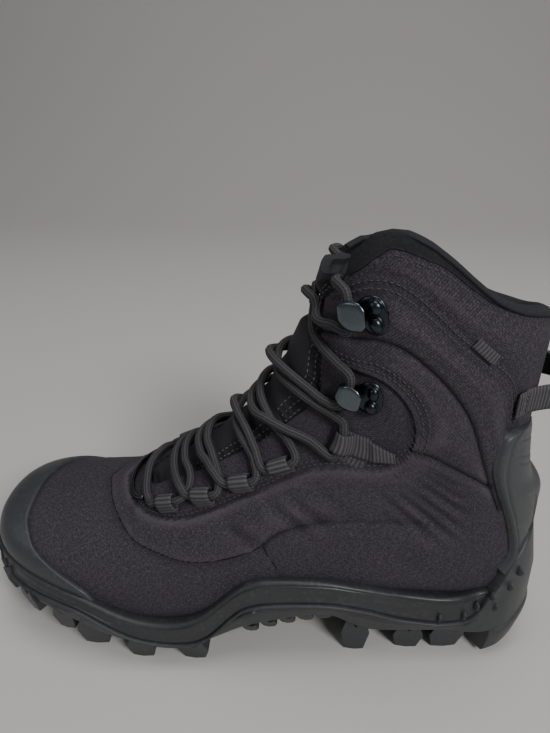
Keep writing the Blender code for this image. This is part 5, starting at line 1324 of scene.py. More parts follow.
def counter():
    """Rows up the heel and shares of the half width across. The rim is a low ridge just inside the edge, and
    the spur a crescent that stands out of the back."""
    rows, half, ridge = through(COUNTER, 260).T
    edges = np.linspace(-1, -0.84, 17), np.linspace(0.84, 1, 17)
    share = np.concatenate([[-1.0], edges[0], np.linspace(-0.84, 0.84, 110)[1:-1], edges[1], [1.0]])
    turns = half[:, None] * share
    rim = COUNTER_RIM * bell((np.abs(share) - 0.935) / 0.03) - 0.5 * bell((np.abs(share) - 0.875) / 0.02)
    rim -= 1.8 * smooth((np.abs(share) - 0.965) / 0.035)
    lift = COUNTER_LIFT + rim[None, :] + SPUR_DEPTH * ridge[:, None] * smooth(1 - np.abs(turns) / SPUR_HALF)
    grooves = sum(bell((rows - row) / 0.022) for row in COUNTER_GROOVES)
    lift -= 0.55 * grooves[:, None] * smooth((0.8 - np.abs(share)) / 0.1)
    moon = np.hypot((rows[:, None] - 11.3) * 26.0, (np.abs(turns) - 0.17) * 150.0) / 11.0
    bite = np.hypot((rows[:, None] - 11.3) * 26.0, (np.abs(turns) - 0.225) * 150.0) / 11.0
    lift -= 1.1 * smooth((1 - moon) / 0.12) * smooth((bite - 1) / 0.12)
    lift -= 1.4 * smooth((rows - 12.9) / 0.15)[:, None]
    lift[:, [0, -1]] = -0.3
    grid = np.repeat(rows[:, None], len(share), 1)
    return [(skin(grid, turns, lift), grid_faces(*grid.shape), cloth_map(grid, turns))]


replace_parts(piece("heel_counter_shell", counter(), BUMPER_FINISH), "heel_counter")

# ---------------------------------------------------------------- the tongue
# The tongue is a padded strip of smooth nylon under the lace. It is pressed in where the lace crosses it and
# swells between, and a thin gusset, sewn in ladders, joins its sides to the facings.

TONGUE_TUCK, LOBE_ROOM, TONGUE_CROWN = 0.10, 4.3, 1.5
LACE_POCKET_FROM, LACE_POCKET, LACE_GROOVE = 13.05, 6.2, 0.068
TONGUE_THICK = 4.5
TONGUE_LOW, TONGUE_HIGH = 3.9, 14.9
PRESSED_ROWS = (5.35, 5.95, 6.68, 7.42, 8.42, 11.45)  # where the lace crosses
PRESSED_DEPTH, PRESSED_HALF = 1.0, 0.2


def tongue_lift(rows, turns):
    """Outer lift of the tongue: below the facings at its sides, padded out between them. Near the top the
    sides stand back from the facings, so that the lace's ends fit between."""
    side = np.where(turns > 1, 2 - turns, turns)
    inside = side - 1 + throat_edge(rows)
    top = smooth((rows - LACE_POCKET_FROM) / 0.7)
    groove = LACE_GROOVE * top
    tucked = -(WALL + 2 * GAP) - 0.6 * smooth((5.2 - rows) / 0.6)
    tucked = tucked - LOBE_ROOM * smooth(1.6 - np.abs(rows - 11.8))
    tucked = tucked - LACE_POCKET * top * smooth((groove - inside) / 0.03)
    crown = smooth((inside - 0.014 - groove) / 0.05) * (1.5 + 0.5 * smooth(inside / 0.12))
    return tucked + crown * (TONGUE_CROWN + WALL) / 2.0


def pressed(rows, turns):
    """How far the lace presses the padding in, and small puckers along the gusset."""
    away = np.abs(turns - 1)
    depth = sum(bell((rows - row) / (PRESSED_HALF * (1 + 0.6 * (row > 8)))) for row in PRESSED_ROWS)
    inside = throat_edge(rows) - away
    pucker = 0.25 * bell((inside - 0.03) / 0.02) * np.sin(rows * 34)
    return -PRESSED_DEPTH * depth * smooth(inside / 0.05) + pucker


def tongue():
    """The tongue's padded form: rows along it, shares across it, its sides tucked under the facings."""
    rows = np.linspace(TONGUE_LOW, TONGUE_HIGH, 330)
    edge = throat_edge(rows)[:, None]
    tuck = TONGUE_TUCK * smooth((rows - 3.0) / 1.5)[:, None]
    share = np.linspace(-1, 1, 65)
    stops = [edge + tuck, edge + tuck * 0.5, edge + 0.004] + [edge * left for left in (0.8, 0.5, 0.2, 0)]
    stops = np.hstack(stops)
    place = np.interp(np.abs(share), np.linspace(0, 1, 7), np.arange(6, -1, -1.0))
    low = np.clip(place.astype(int), 0, 5)
    from_ridge = stops[:, low] * (1 - place + low) + stops[:, low + 1] * (place - low)
    turns = 1 + np.sign(share) * from_ridge
    grid = np.repeat(rows[:, None], turns.shape[1], 1)
    grid = np.where(grid > 14, 14 + (grid - 14) * (1 - 0.85 * share**2), grid)
    outer = tongue_lift(grid, turns)
    depth = np.abs(share)
    thick = 2.2 + (TONGUE_THICK - 2.2) * smooth((1 - depth) / 0.4)
    thick = thick * np.where(rows > 14.8, 0.55, 1.0)[:, None]
    middle = outer - thick / 2
    ends = np.minimum(rows - rows[0], rows[-1] - rows)[:, None] / 0.1
    half = thick / 2 * np.sqrt(np.clip(1 - (1 - np.clip(ends, 0, 1)) ** 2, 0, 1))
    half = half * np.sqrt(np.clip(1 - depth**24, 0, 1))
    top = skin(grid, turns, middle + half + pressed(grid, turns) * (half > 0))
    under = skin(grid, turns, middle - half)
    spread = cloth_map(grid, turns)
    faces = grid_faces(*turns.shape)
    soft = smooth((grid - 13.45) / 0.25)
    made = piece("tongue_shell", [(top, faces, spread), (under, faces[:, ::-1], spread)], TONGUE_FINISH,
                 {"knit": np.stack([soft, soft])})
    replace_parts(made, "tongue")
    return made


def tongue_finish():
    """Smooth close nylon: its warp a little lighter than its weft, with faint lighter clouds."""
    made, tree, shader = finish("tongue_nylon", NYLON_WARP, 0.74, specular=0.25)
    place, cloth = object_place(tree), cloth_place(tree)
    weave = use_group(tree, WEAVE, cloth, Threads=2.6)
    wear = use_group(tree, WEAR, place)
    tone = blended(tree, weave.outputs["Warp"], (0.024, 0.022, 0.027), (0.037, 0.034, 0.040))
    tone = blended(tree, maths(tree, "MULTIPLY", wear.outputs["Clouds"], 0.4), tone, (0.044, 0.040, 0.046))
    knit = blended(tree, noise(tree, place, *KNIT_GRAIN), KNIT_DARK, KNIT_LIGHT)
    tree.links.new(blended(tree, mark(tree, "knit"), tone, knit), shader.inputs["Base Color"])
    bumped(tree, shader, weave.outputs["Height"], 0.35, 0.0002)
    return made


TONGUE_FINISH = tongue_finish()
tongue()


def on_tongue(rows, turns, lift):
    """A point of the tongue's outer face, moved out by lift."""
    return skin(rows, turns, tongue_lift(rows, turns) + pressed(rows, turns) + lift)


LADDERS = (0.016, 0.036, 0.056)  # turns from the throat's edge in to each ladder
LADDER_RUNS = ((5.5, 7.2), (7.55, 8.25), (8.75, 11.1), (11.75, 13.0))  # rows from and to


def gusset_ladders():
    """Rows of short stitches up the gusset, beside the padding on each side."""
    parts = []
    for side in (1, -1):
        for inside in LADDERS:
            for low, high in LADDER_RUNS:
                rows = np.linspace(low, high, 60)
                turns = 1 - side * (throat_edge(rows) - inside * np.interp(rows, [5, 8], [0.7, 1.0]))
                parts.append(stitch_row(rows, turns, 0.12, 1.9, 2.9, 0.3, on_tongue))
    return parts


LADDER_DARK, LADDER_LIGHT = (0.05, 0.048, 0.052), (0.30, 0.285, 0.29)
LADDER_FINISH = speckled("ladder_thread", (0.2, 0.19, 0.2), 0.4, (900.0, 2.0, 0.6), LADDER_DARK, LADDER_LIGHT,
                         specular=0.5)
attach(piece("tongue_ladders", gusset_ladders(), LADDER_FINISH), "root")

# ---------------------------------------------------------------- webbing
# Loops, straps and the pull loop are grosgrain tape: thick weft cords lie across it side by side and show as
# ribs. Each loop is folded round the lace and sewn down behind it under the quarter's edge.

TAPE_HALF, STRAP_HALF, STRAP_LENGTH, LOOP_PASS = 5.0, 4.8, 26.0, 7.3
BAND_LIFT, FOLD_EASE, WEBBING, LACE_RADIUS = 2.7, 0.3, 0.8, 2.0
LOOPS = [(5.09, 0.186), (5.8, 0.221), (6.52, 0.246), (7.29, 0.266)]
STRAP, STRAP_END = (8.9, 0.305), (10.15, 0.427)
STRAP_FLAT, STRAP_RISE = 12.5, 1.3  # where the strap climbs onto the panel round the band, and how far
# The strap's lower tail: its row and turn, those of a place it runs towards, and its route.
STRAP_TAIL = (8.62, 0.318, 9.0, 0.368)
STRAP_TAIL_PATH = [(0.0, -0.9), (4.0, -0.9), (12.0, -0.7)]
TAIL_HALF, TAIL_THICK = [4.2, 4.8], 0.7
STRAP_ENDS = [1.6, 3.0]  # half widths where the strap narrows to each end
RIB_PITCH, RIB_DEPTH = 1.75, 0.26


def local_map(row, turn, row_to, turn_to):
    """A map to points in millimetres from a place on the last, where u runs towards a second place, v runs
    square to it up the boot, and lift stands off the surface."""
    along = (last_point(row + 0.05, turn) - last_point(row - 0.05, turn)) / 0.1
    around = (last_point(row, turn + 0.005) - last_point(row, turn - 0.005)) / 0.01
    steps = np.linalg.pinv(np.column_stack([along, around]))
    out = normal(row, turn)
    ahead = last_point(row_to, turn_to) - last_point(row, turn)
    ahead = unit(ahead - out * ahead.dot(out))
    up = np.cross(out, ahead)
    up = up * np.sign(up.dot(along))

    def at(u, v, lift):
        u, v, lift = np.broadcast_arrays(*(np.asarray(part, float) for part in (u, v, lift)))
        shift = (u[..., None] * ahead + v[..., None] * up) @ steps.T
        return skin(row + shift[..., 0], turn + shift[..., 1], lift)

    return at


def resampled(path, step):
    """A path of (place, height) with points a step apart, and the lengths there."""
    path = np.asarray(path, float)
    lengths = np.concatenate([[0], np.cumsum(np.linalg.norm(np.diff(path, axis=0), axis=1))])
    spots = np.linspace(0, lengths[-1], int(np.ceil(lengths[-1] / step)) + 1)
    return np.stack([np.interp(spots, lengths, part) for part in path.T], -1), spots


def tape(at, path, half, thick, ribs=RIB_DEPTH, across=9, step=0.3, square=8):
    """A closed tape through a path of (place, height), as wide as half on both sides. Its outer face has
    ribs across it, and its edges are rounded."""
    path, spots = resampled(path, step)
    half = np.interp(spots, np.linspace(0, spots[-1], len(half)), half)[:, None]
    run = unit(np.gradient(path, axis=0))
    side = np.column_stack([-run[:, 1], run[:, 0]])
    share = np.linspace(-1, 1, across)
    body = thick / 2 * (1 - np.abs(share) ** square * 0.75)
    wave = (0.5 + 0.5 * np.cos(spots * 2 * np.pi / RIB_PITCH)) ** 0.6 * ribs
    ends = np.sqrt(np.clip(1 - (1 - np.clip(np.minimum(spots, spots[-1] - spots) / 0.5, 0, 1)) ** 2, 0, 1))
    shape = body[None, :] * ends[:, None]
    high = shape + (wave - ribs)[:, None] * (1 - np.abs(share) ** square) * ends[:, None]
    loop = np.hstack([-high, shape[:, ::-1]])
    wide = np.hstack([share, share[::-1]])[None, :] * half
    u = path[:, :1] + side[:, :1] * loop
    lift = path[:, 1:] + side[:, 1:] * loop
    places = np.stack(np.broadcast_arrays(spots[:, None], wide), -1)
    return at(u, wide, lift), grid_faces(*wide.shape, wrap=True), places


def folded_path(tail, rise=0.0):
    """The route of a tape that is folded round the lace: out along the band, round it, and back."""
    radius = LACE_RADIUS + GAP + FOLD_EASE + WEBBING / 2
    low = BAND_LIFT - radius
    turn = np.radians(np.linspace(-90, -315, 22))
    ring = np.column_stack([radius * np.cos(turn), BAND_LIFT + radius * np.sin(turn)])
    out = np.linspace(tail, 0.4, 20)
    higher = rise * smooth((out - STRAP_FLAT) / 3.0)
    start = np.column_stack([out, low + higher])
    back = out[::-1][out[::-1] > 4.6]
    over = low + WEBBING + 0.12 + rise * smooth((back - STRAP_FLAT) / 3.0)
    return np.vstack([start, ring, np.column_stack([back, over])])


def mirrored(turn, inner):
    """A turn from the ridge as a turn of the last, on the outer side or on the inner one."""
    return 1 + turn if inner else 1 - turn


def loop_map(level, inner):
    """The local map of a lace loop, with u down the side, or of a strap, with u along it."""
    row, turn = (LOOPS + [STRAP])[level]
    row_to, turn_to = (row, turn + 0.1) if level < len(LOOPS) else STRAP_END
    return local_map(row, mirrored(turn, inner), row_to, mirrored(turn_to, inner))


def panel_edge_turn(row):
    """The turn from the ridge where the quarter's edge crosses a row."""
    rows, turns = np.array(FACING_SEAM).T[:2]
    return np.interp(row, rows, turns)


def webbing_finish():
    """Grosgrain: matte yarn, with a painted highlight on the crown of each rib and painted shade between the
    ribs.
    """
    made, tree, shader = finish("grosgrain", (0.07, 0.068, 0.074), 0.8, specular=0.25)
    cloth = cloth_place(tree)
    split = tree.nodes.new("ShaderNodeSeparateXYZ")
    tree.links.new(cloth, split.inputs[0])
    rib = maths(tree, "COSINE", maths(tree, "MULTIPLY", split.outputs[0], 2 * np.pi / RIB_PITCH))
    yarn = maths(tree, "SINE", maths(tree, "MULTIPLY", split.outputs[1], 2 * np.pi / 0.55))
    fuzz = noise(tree, object_place(tree), 1500.0, 2.0, 0.6)
    # Painted highlight on each rib's crown and painted shade in the gaps between, with the yarn's own fine
    # lines across.
    share = ramp(tree, maths(tree, "ADD", rib, maths(tree, "MULTIPLY", yarn, 0.35)), -1.1, 1.2)
    tone = blended(tree, share, (0.024, 0.022, 0.026), (0.115, 0.110, 0.118))
    tone = blended(tree, ramp(tree, fuzz, 0.35, 0.7, 0.0, 0.45), tone, (0.085, 0.08, 0.088))
    tree.links.new(tone, shader.inputs["Base Color"])
    height = maths(tree, "ADD", maths(tree, "MULTIPLY", yarn, 0.4), fuzz)
    bumped(tree, shader, height, 0.5, 0.0002)
    return made


TAPE_FINISH = webbing_finish()


def loops_and_straps():
    """The folded loops and the ribbed straps that the lace runs in, on both sides."""
    for inner, side in ((False, "lateral"), (True, "medial")):
        for number, (row, turn) in enumerate(LOOPS):
            end = last_point(row, mirrored(panel_edge_turn(row) - 0.006, inner))
            room = np.linalg.norm(end - last_point(row, mirrored(turn, inner))) - 1.5
            part = tape(loop_map(number, inner), folded_path(room), [TAPE_HALF, TAPE_HALF], WEBBING)
            made = piece(f"lace_loop_{side}_{number + 1}_tape", [part], TAPE_FINISH, out=True)
            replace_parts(made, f"lace_loop_{side}_{number + 1}")
        at = loop_map(len(LOOPS), inner)
        wide = [*STRAP_ENDS, *[STRAP_HALF] * 6, *STRAP_ENDS[::-1]]
        part = tape(at, folded_path(STRAP_LENGTH, STRAP_RISE), wide, WEBBING)
        tail_row, tail_turn, far_row, far_turn = STRAP_TAIL
        tail = local_map(tail_row, mirrored(tail_turn, inner), far_row, mirrored(far_turn, inner))
        parts = [part, tape(tail, STRAP_TAIL_PATH, TAIL_HALF, TAIL_THICK, ribs=0.1)]
        made = piece(f"ankle_strap_{side}_tape", parts, TAPE_FINISH, out=True)
        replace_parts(made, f"ankle_strap_{side}")


loops_and_straps()

# ---------------------------------------------------------------- speed hooks
# Each hook is pressed from steel sheet and finished in black nickel: an oval base with two domed rivets, a
# neck, and a shield-shaped plate that curls back over the lace. The front ring of the throat is black wire.

HOOK_PLATE, RIVET_PLACE, LACE_LINE, HOOK_PASS = 1.2, 2.85, -3.0, 7.2
DOME, DOME_HEIGHT = 2.55, 2.1
# Each hook: row and turn from the ridge of its plate's middle, the same of its rivets, and the ground's lift.
HOOKS = [(10.86, 0.306, 11.22, 0.356, -FACING_STEP), (13.37, 0.306, 13.50, 0.356, 0.0)]
# Half the width of the sheet at stations along it, from the base's far end to the plate's tip.
HOOK_STATIONS = [(0.0, 1.6), (0.04, 4.2), (0.09, 5.8), (0.17, 6.6), (0.26, 6.2), (0.33, 4.9), (0.40, 3.7)]
HOOK_STATIONS += [(0.52, 3.0), (0.62, 3.1), (0.70, 3.9), (0.76, 5.3), (0.82, 5.9), (0.89, 5.5), (0.95, 4.6)]
HOOK_STATIONS += [(1.0, 2.6)]
PLATE_FROM = 16.0  # how far along the sheet the plate starts


def metal_finish(name, colour, roughness, plate):
    """Black nickel, faintly uneven. The plate far along the sheet is painted lighter, a painted reflection of
    the bright surroundings.
    """
    made, tree, shader = finish(name, colour, roughness, metallic=1.0)
    place = object_place(tree)
    wear = use_group(tree, WEAR, place)
    lighter = tuple(c * 1.5 for c in colour)
    tone = blended(tree, wear.outputs["Clouds"], colour, lighter)
    split = tree.nodes.new("ShaderNodeSeparateXYZ")
    tree.links.new(cloth_place(tree), split.inputs[0])
    # Painted reflection: far along the sheet, on the plate, the colour turns to the lighter plate colour.
    curled = ramp(tree, split.outputs[0], PLATE_FROM, PLATE_FROM + 3.0)
    tree.links.new(blended(tree, curled, tone, plate), shader.inputs["Base Color"])
    fine = noise(tree, place, 600.0, 3.0, 0.6)
    tree.links.new(ramp(tree, fine, 0.3, 0.7, roughness - 0.05, roughness + 0.08), shader.inputs["Roughness"])
    bumped(tree, shader, fine, 0.06, 0.0001)
    return made


# The last colour is the plate's painted reflection of the bright surroundings.
PLATE_FINISH = metal_finish("black_nickel", (0.035, 0.042, 0.048), 0.28, (0.125, 0.15, 0.168))
WIRE_FINISH = metal_finish("black_wire", (0.07, 0.075, 0.08), 0.16, (0.07, 0.075, 0.08))


def hook_map(number, inner):
    """The local map at a hook's plate and the distance to its rivets."""
    row, turn, rivet_row, rivet_turn, _ = HOOKS[number]
    start, end = (row, mirrored(turn, inner)), (rivet_row, mirrored(rivet_turn, inner))
    return local_map(*start, *end), np.linalg.norm(last_point(*end) - last_point(*start))


def dome(at, u, v, base):
    """A rivet's head: a low cap on a short collar."""
    rise = np.linspace(0, np.pi / 2, 8)
    radii = np.concatenate([[DOME + 0.35, DOME + 0.35, DOME + 0.1], DOME * np.cos(rise)])
    heights = np.concatenate([[0.0, 0.5, 0.6], 0.6 + DOME_HEIGHT * np.sin(rise)])
    around = np.arange(28) * 2 * np.pi / 28
    points = at(u + radii[:, None] * np.cos(around), v + radii[:, None] * np.sin(around),
                base + heights[:, None] + 0 * around)
    return points, grid_faces(*points.shape[:2], wrap=True)


def hook(name, at, length, ground):
    """The curled sheet over its ground, with two domed rivets at its base."""
    base = ground + GAP + HOOK_PLATE / 2
    radius = LACE_RADIUS + GAP + FOLD_EASE + HOOK_PLATE / 2
    centre = base + radius
    curl = np.radians(np.linspace(-90, -270, 22))
    bend = [(LACE_LINE + radius * np.cos(a), centre + radius * np.sin(a)) for a in curl]
    path = [(length + 4.4, base), (length, base)] + bend
    path += [(1.5, centre + radius), (4.2, centre + radius + 0.2)]
    stations = through(HOOK_STATIONS, 60)
    half = np.interp(np.linspace(0, 1, 90), stations[:, 0], stations[:, 1])
    sheet = tape(at, path, half, HOOK_PLATE, ribs=0.0, across=11, step=0.3, square=6)
    parts = [sheet] + [dome(at, length, v, base + HOOK_PLATE / 2) for v in (-RIVET_PLACE, RIVET_PLACE)]
    made = piece(name + "_steel", parts, PLATE_FINISH, out=True)
    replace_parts(made, name)


for inner, side in ((False, "lateral"), (True, "medial")):
    for number, height in enumerate(("lower", "upper")):
        at, length = hook_map(number, inner)
        hook(f"lace_hook_{side}_{height}", at, length, HOOKS[number][4])

# ---------------------------------------------------------------- the lace
# A round braided lace about 4 mm thick: a sheath of yarns over a core, pulled straight at each turn, so that
# the yarns lie nearly lengthwise and show as ribs. Its ends go in under the top of the facings.

LACE_RIBS, RIB_SHARE = 8, 0.085
# Points of the lace between its loops and hooks: row, turn from the ridge towards the outer side, and lift.
FRONT = [(4.73, 0.162, 2.2), (4.6, 0.105, 2.8), (4.53, 0.0, 3.6), (4.6, -0.105, 2.8), (4.73, -0.162, 2.2)]
# From an inner loop up and across to the next outer one, lying on top where two strands cross.
OUTWARD = [
    [(5.34, -0.15, 1.8), (5.2, -0.08, 3.4), (5.13, 0.0, 3.9), (5.2, 0.07, 4.4), (5.33, 0.13, 5.2)]
    + [(5.46, 0.174, 5.7)],
    [(6.1, -0.195, 1.8), (5.95, -0.14, 2.4), (5.75, -0.08, 3.5), (5.66, 0.0, 4.0), (5.82, 0.089, 4.6)]
    + [(6.0, 0.14, 5.2), (6.13, 0.183, 5.7)],
    [(6.84, -0.215, 1.8), (6.73, -0.165, 2.0), (6.61, -0.11, 3.4), (6.6, -0.05, 6.1), (6.66, 0.0, 7.8)]
    + [(6.74, 0.05, 6.2), (6.86, 0.121, 4.0), (6.92, 0.19, 2.4)],
    [(7.64, -0.235, 1.8), (7.46, -0.185, 1.8), (7.22, -0.12, 3.4), (7.06, -0.02, 3.9), (7.1, 0.06, 4.8)]
    + [(7.27, 0.118, 6.1), (7.48, 0.158, 6.0), (7.75, 0.21, 4.0), (8.1, 0.262, 2.4)],
    [(9.34, -0.265, 2.0), (9.02, -0.22, 2.0), (8.7, -0.17, 2.6), (8.28, -0.1, 4.2), (8.22, -0.04, 6.8)]
    + [(8.36, 0.01, 7.8), (8.55, 0.06, 6.4), (8.82, 0.12, 4.4), (9.15, 0.185, 3.0), (9.45, 0.235, 2.6)],
    [(11.45, -0.25, 2.4), (11.3, -0.19, 1.4), (11.3, -0.125, 0.2), (11.65, -0.085, -0.4)]
    + [(12.12, -0.055, 0.8), (12.33, -0.03, 2.8), (12.5, 0.0, 3.8), (12.62, 0.03, 2.8)]
    + [(12.62, 0.065, 0.7), (12.35, 0.1, 0.1), (12.25, 0.135, 2.1), (12.4, 0.175, 2.9), (12.7, 0.225, 3.0)],
]
# From an outer loop up and across to the next inner one, lying underneath.
INWARD = [
    [(5.47, 0.178, 1.3), (5.53, 0.145, 1.3), (5.5, 0.11, 2.0), (5.42, 0.07, 3.4), (5.34, 0.0, 3.6)]
    + [(5.38, -0.07, 3.6), (5.45, -0.14, 2.4)],
    [(6.12, 0.2, 1.6), (6.09, 0.17, 1.2), (6.05, 0.14, 1.5), (6.02, 0.109, 2.5), (5.9, 0.04, 3.6)]
    + [(5.86, -0.03, 3.6), (5.95, -0.09, 3.6), (6.1, -0.17, 2.0)],
    [(6.84, 0.215, 1.8), (6.79, 0.18, 1.6), (6.7, 0.13, 2.8), (6.6, 0.06, 3.4), (6.62, 0.0, 3.4)]
    + [(6.74, -0.06, 3.4), (6.85, -0.13, 3.0), (6.92, -0.195, 2.0)],
    [(7.64, 0.238, 1.5), (7.55, 0.2, 1.3), (7.46, 0.165, 1.4), (7.43, 0.12, 3.2), (7.37, 0.05, 3.5)]
    + [(7.4, -0.03, 3.5), (7.55, -0.11, 3.4), (7.85, -0.19, 2.0), (8.12, -0.258, 2.2)],
    [(9.36, 0.27, 1.8), (9.0, 0.225, 1.6), (8.63, 0.166, 2.6), (8.28, 0.09, 3.4), (8.3, 0.02, 3.4)]
    + [(8.5, -0.05, 3.4), (8.85, -0.12, 3.4), (9.2, -0.185, 2.6), (9.45, -0.235, 2.6)],
    [(11.45, 0.25, 2.4), (11.3, 0.19, 1.4), (11.3, 0.125, 0.2), (11.65, 0.085, -0.4)]
    + [(12.12, 0.055, -0.7), (12.33, 0.03, -0.8), (12.5, 0.0, -0.8), (12.62, -0.03, -0.5)]
    + [(12.62, -0.065, -0.1), (12.35, -0.1, 0.0), (12.25, -0.135, 2.1), (12.4, -0.175, 2.9)]
    + [(12.7, -0.225, 3.0)],
]
# From the upper outer hook over the facing's corner and in under its edge.
END = [(14.0, 0.245, 3.4), (14.22, 0.204, 2.2), (14.35, 0.183, -0.8), (14.3, 0.179, -4.4)]
END += [(14.12, 0.205, -6.9), (13.9, 0.247, -7.1)]


def lace_points(rows):
    """Points of the lace from its rows of the tables."""
    return [skin(np.array(row), np.array(1 - across), lift) for row, across, lift in rows]


def passage(level, inner):
    """The lace's two points in a loop or hook: where it enters from below and leaves above."""
    if level > len(LOOPS):
        number = level - len(LOOPS) - 1
        at, _ = hook_map(number, inner)
        lift = HOOKS[number][4] + GAP + HOOK_PLATE + GAP + FOLD_EASE + LACE_RADIUS
        return [at(LACE_LINE, -HOOK_PASS, lift), at(LACE_LINE, HOOK_PASS, lift)]
    at = loop_map(level, inner)
    return [at(0.0, -LOOP_PASS, BAND_LIFT), at(0.0, LOOP_PASS, BAND_LIFT)]


def lace_side(inner):
    """The lace from the first loop on one side to its end at the other or the same side's top."""
    points = passage(0, inner)
    for level in range(len(LOOPS) + len(HOOKS)):
        points += lace_points((OUTWARD if inner else INWARD)[level])
        inner = not inner
        points += passage(level + 1, inner)
    return points + lace_points([(row, -across if inner else across, lift) for row, across, lift in END])


def rounded(points, step):
    """A smooth curve through points, with points between them where they lie more than a step apart."""
    points = np.array(points)
    ends = np.vstack([2 * points[0] - points[1], points, 2 * points[-1] - points[-2]])
    counts = np.ceil(np.linalg.norm(np.diff(points, axis=0), axis=1) / step).astype(int)
    spots = np.concatenate([n + np.arange(count) / count for n, count in enumerate(counts)])
    return np.vstack([hermite(ends, spots), points[-1]])


def lace_finish():
    """Dull polyester yarns: painted highlight on the crowns, painted shade in the gaps, and small slanting
    picks.
    """
    made, tree, shader = finish("lace_braid", (0.06, 0.06, 0.064), 0.8, specular=0.3)
    cloth = cloth_place(tree)
    split = tree.nodes.new("ShaderNodeSeparateXYZ")
    tree.links.new(cloth, split.inputs[0])
    around = maths(tree, "MULTIPLY", split.outputs[1], 2 * np.pi)
    rib = maths(tree, "COSINE", maths(tree, "MULTIPLY", around, float(LACE_RIBS)))
    slant = maths(tree, "ADD", maths(tree, "MULTIPLY", split.outputs[0], 2 * np.pi / 1.1), around)
    pick = maths(tree, "SINE", slant)
    fuzz = noise(tree, object_place(tree), 1400.0, 2.0, 0.6)
    # Painted highlight on each rib's crown and painted shade in the gaps, with the slanting picks of the
    # braid mixed in.
    share = ramp(tree, maths(tree, "ADD", rib, maths(tree, "MULTIPLY", pick, 0.4)), -1.2, 1.2)
    tone = blended(tree, share, (0.015, 0.0145, 0.016), (0.078, 0.075, 0.080))
    tone = blended(tree, ramp(tree, fuzz, 0.4, 0.7, 0.0, 0.4), tone, (0.072, 0.069, 0.074))
    tree.links.new(tone, shader.inputs["Base Color"])
    bumped(tree, shader, maths(tree, "ADD", maths(tree, "MULTIPLY", pick, 0.5), fuzz), 0.5, 0.0002)
    return made


def braided_lace():
    """The cord along its whole route. Round it, its radius is a cosine with one wave for each rib."""
    route = lace_side(False)[::-1] + lace_points(FRONT) + lace_side(True)
    path = rounded(route, 1.1)
    sides = LACE_RIBS * 4
    angles = np.arange(sides) * 2 * np.pi / sides
    radius = LACE_RADIUS * (1 - RIB_SHARE / 2 + RIB_SHARE / 2 * np.cos(LACE_RIBS * angles))
    ends = np.ones(len(path))
    ends[[0, -1]] = 0.8
    made = piece("lace_braid", [tube(path, ends[:, None] * radius, sides)], lace_finish())
    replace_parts(made, "lace")


braided_lace()

# ---------------------------------------------------------------- trims
# A wire ring closes the throat's front. The pull loop is the same tape as the loops, sewn to both sides of
# the shaft with a box of stitches, and the side tag is a plain patch of tape.

RING = [(4.55, 0.135), (4.35, 0.115), (4.2, 0.06), (4.16, 0.0), (4.2, -0.06), (4.35, -0.115), (4.55, -0.135)]
PULL_HEIGHT, PULL_HALF, PULL_THICK = 144.5, 6.2, 1.6
# The pull loop's outer half, seen from above: x and y, from where it leaves the shaft to its bight.
PULL_FREE = [(122.0, 20.5), (131.0, 17.5), (139.5, 13.0), (144.5, 7.0), (146.2, 0.0)]
PULL_SEAT = [109.5, 112.5, 115.5]  # x of the stitched end
TAG = (13.98, 0.389, 13.92, 0.359)  # row and turn of its middle, and of a place towards its rear
TAG_SIZE = (6.4, 2.3, 0.8)  # half length, half height and thickness


RING_RADIUS = 1.2


def wire_ring():
    """The round rod at the front end of the throat."""
    points = lace_points([(row, across, GAP + RING_RADIUS + 0.5) for row, across in RING])
    rod = tube(rounded(points, 0.6), RING_RADIUS, 14)
    made = piece("throat_ring_wire", [rod], WIRE_FINISH)
    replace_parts(made, "throat_ring")


wire_ring()

PULL_SEAT_BOX = (4.4, 5.0)  # the stitched box on each seat: half height and length
# Painted shade for the pull loop's inner face: a near-black finish for a strip laid on it, where that face
# lies in shade.
LOOP_INSIDE_SHADE = finish("loop_inside_painted_shade", (0.006, 0.006, 0.0065), 0.9, specular=0.15)[0]


def shaft_side(x, side):
    """y of the shaft's surface behind the pull loop at an x; side is -1 on the outer side, else 1."""
    heights = PULL_HEIGHT + PULL_HALF * np.linspace(-1, 1, 5)
    away = np.linspace(0, 60, 601)[:, None] + 0 * heights
    return side * 0.1 * inside_last(np.full(away.shape, x), side * away, heights + 0 * away).sum(0).max()


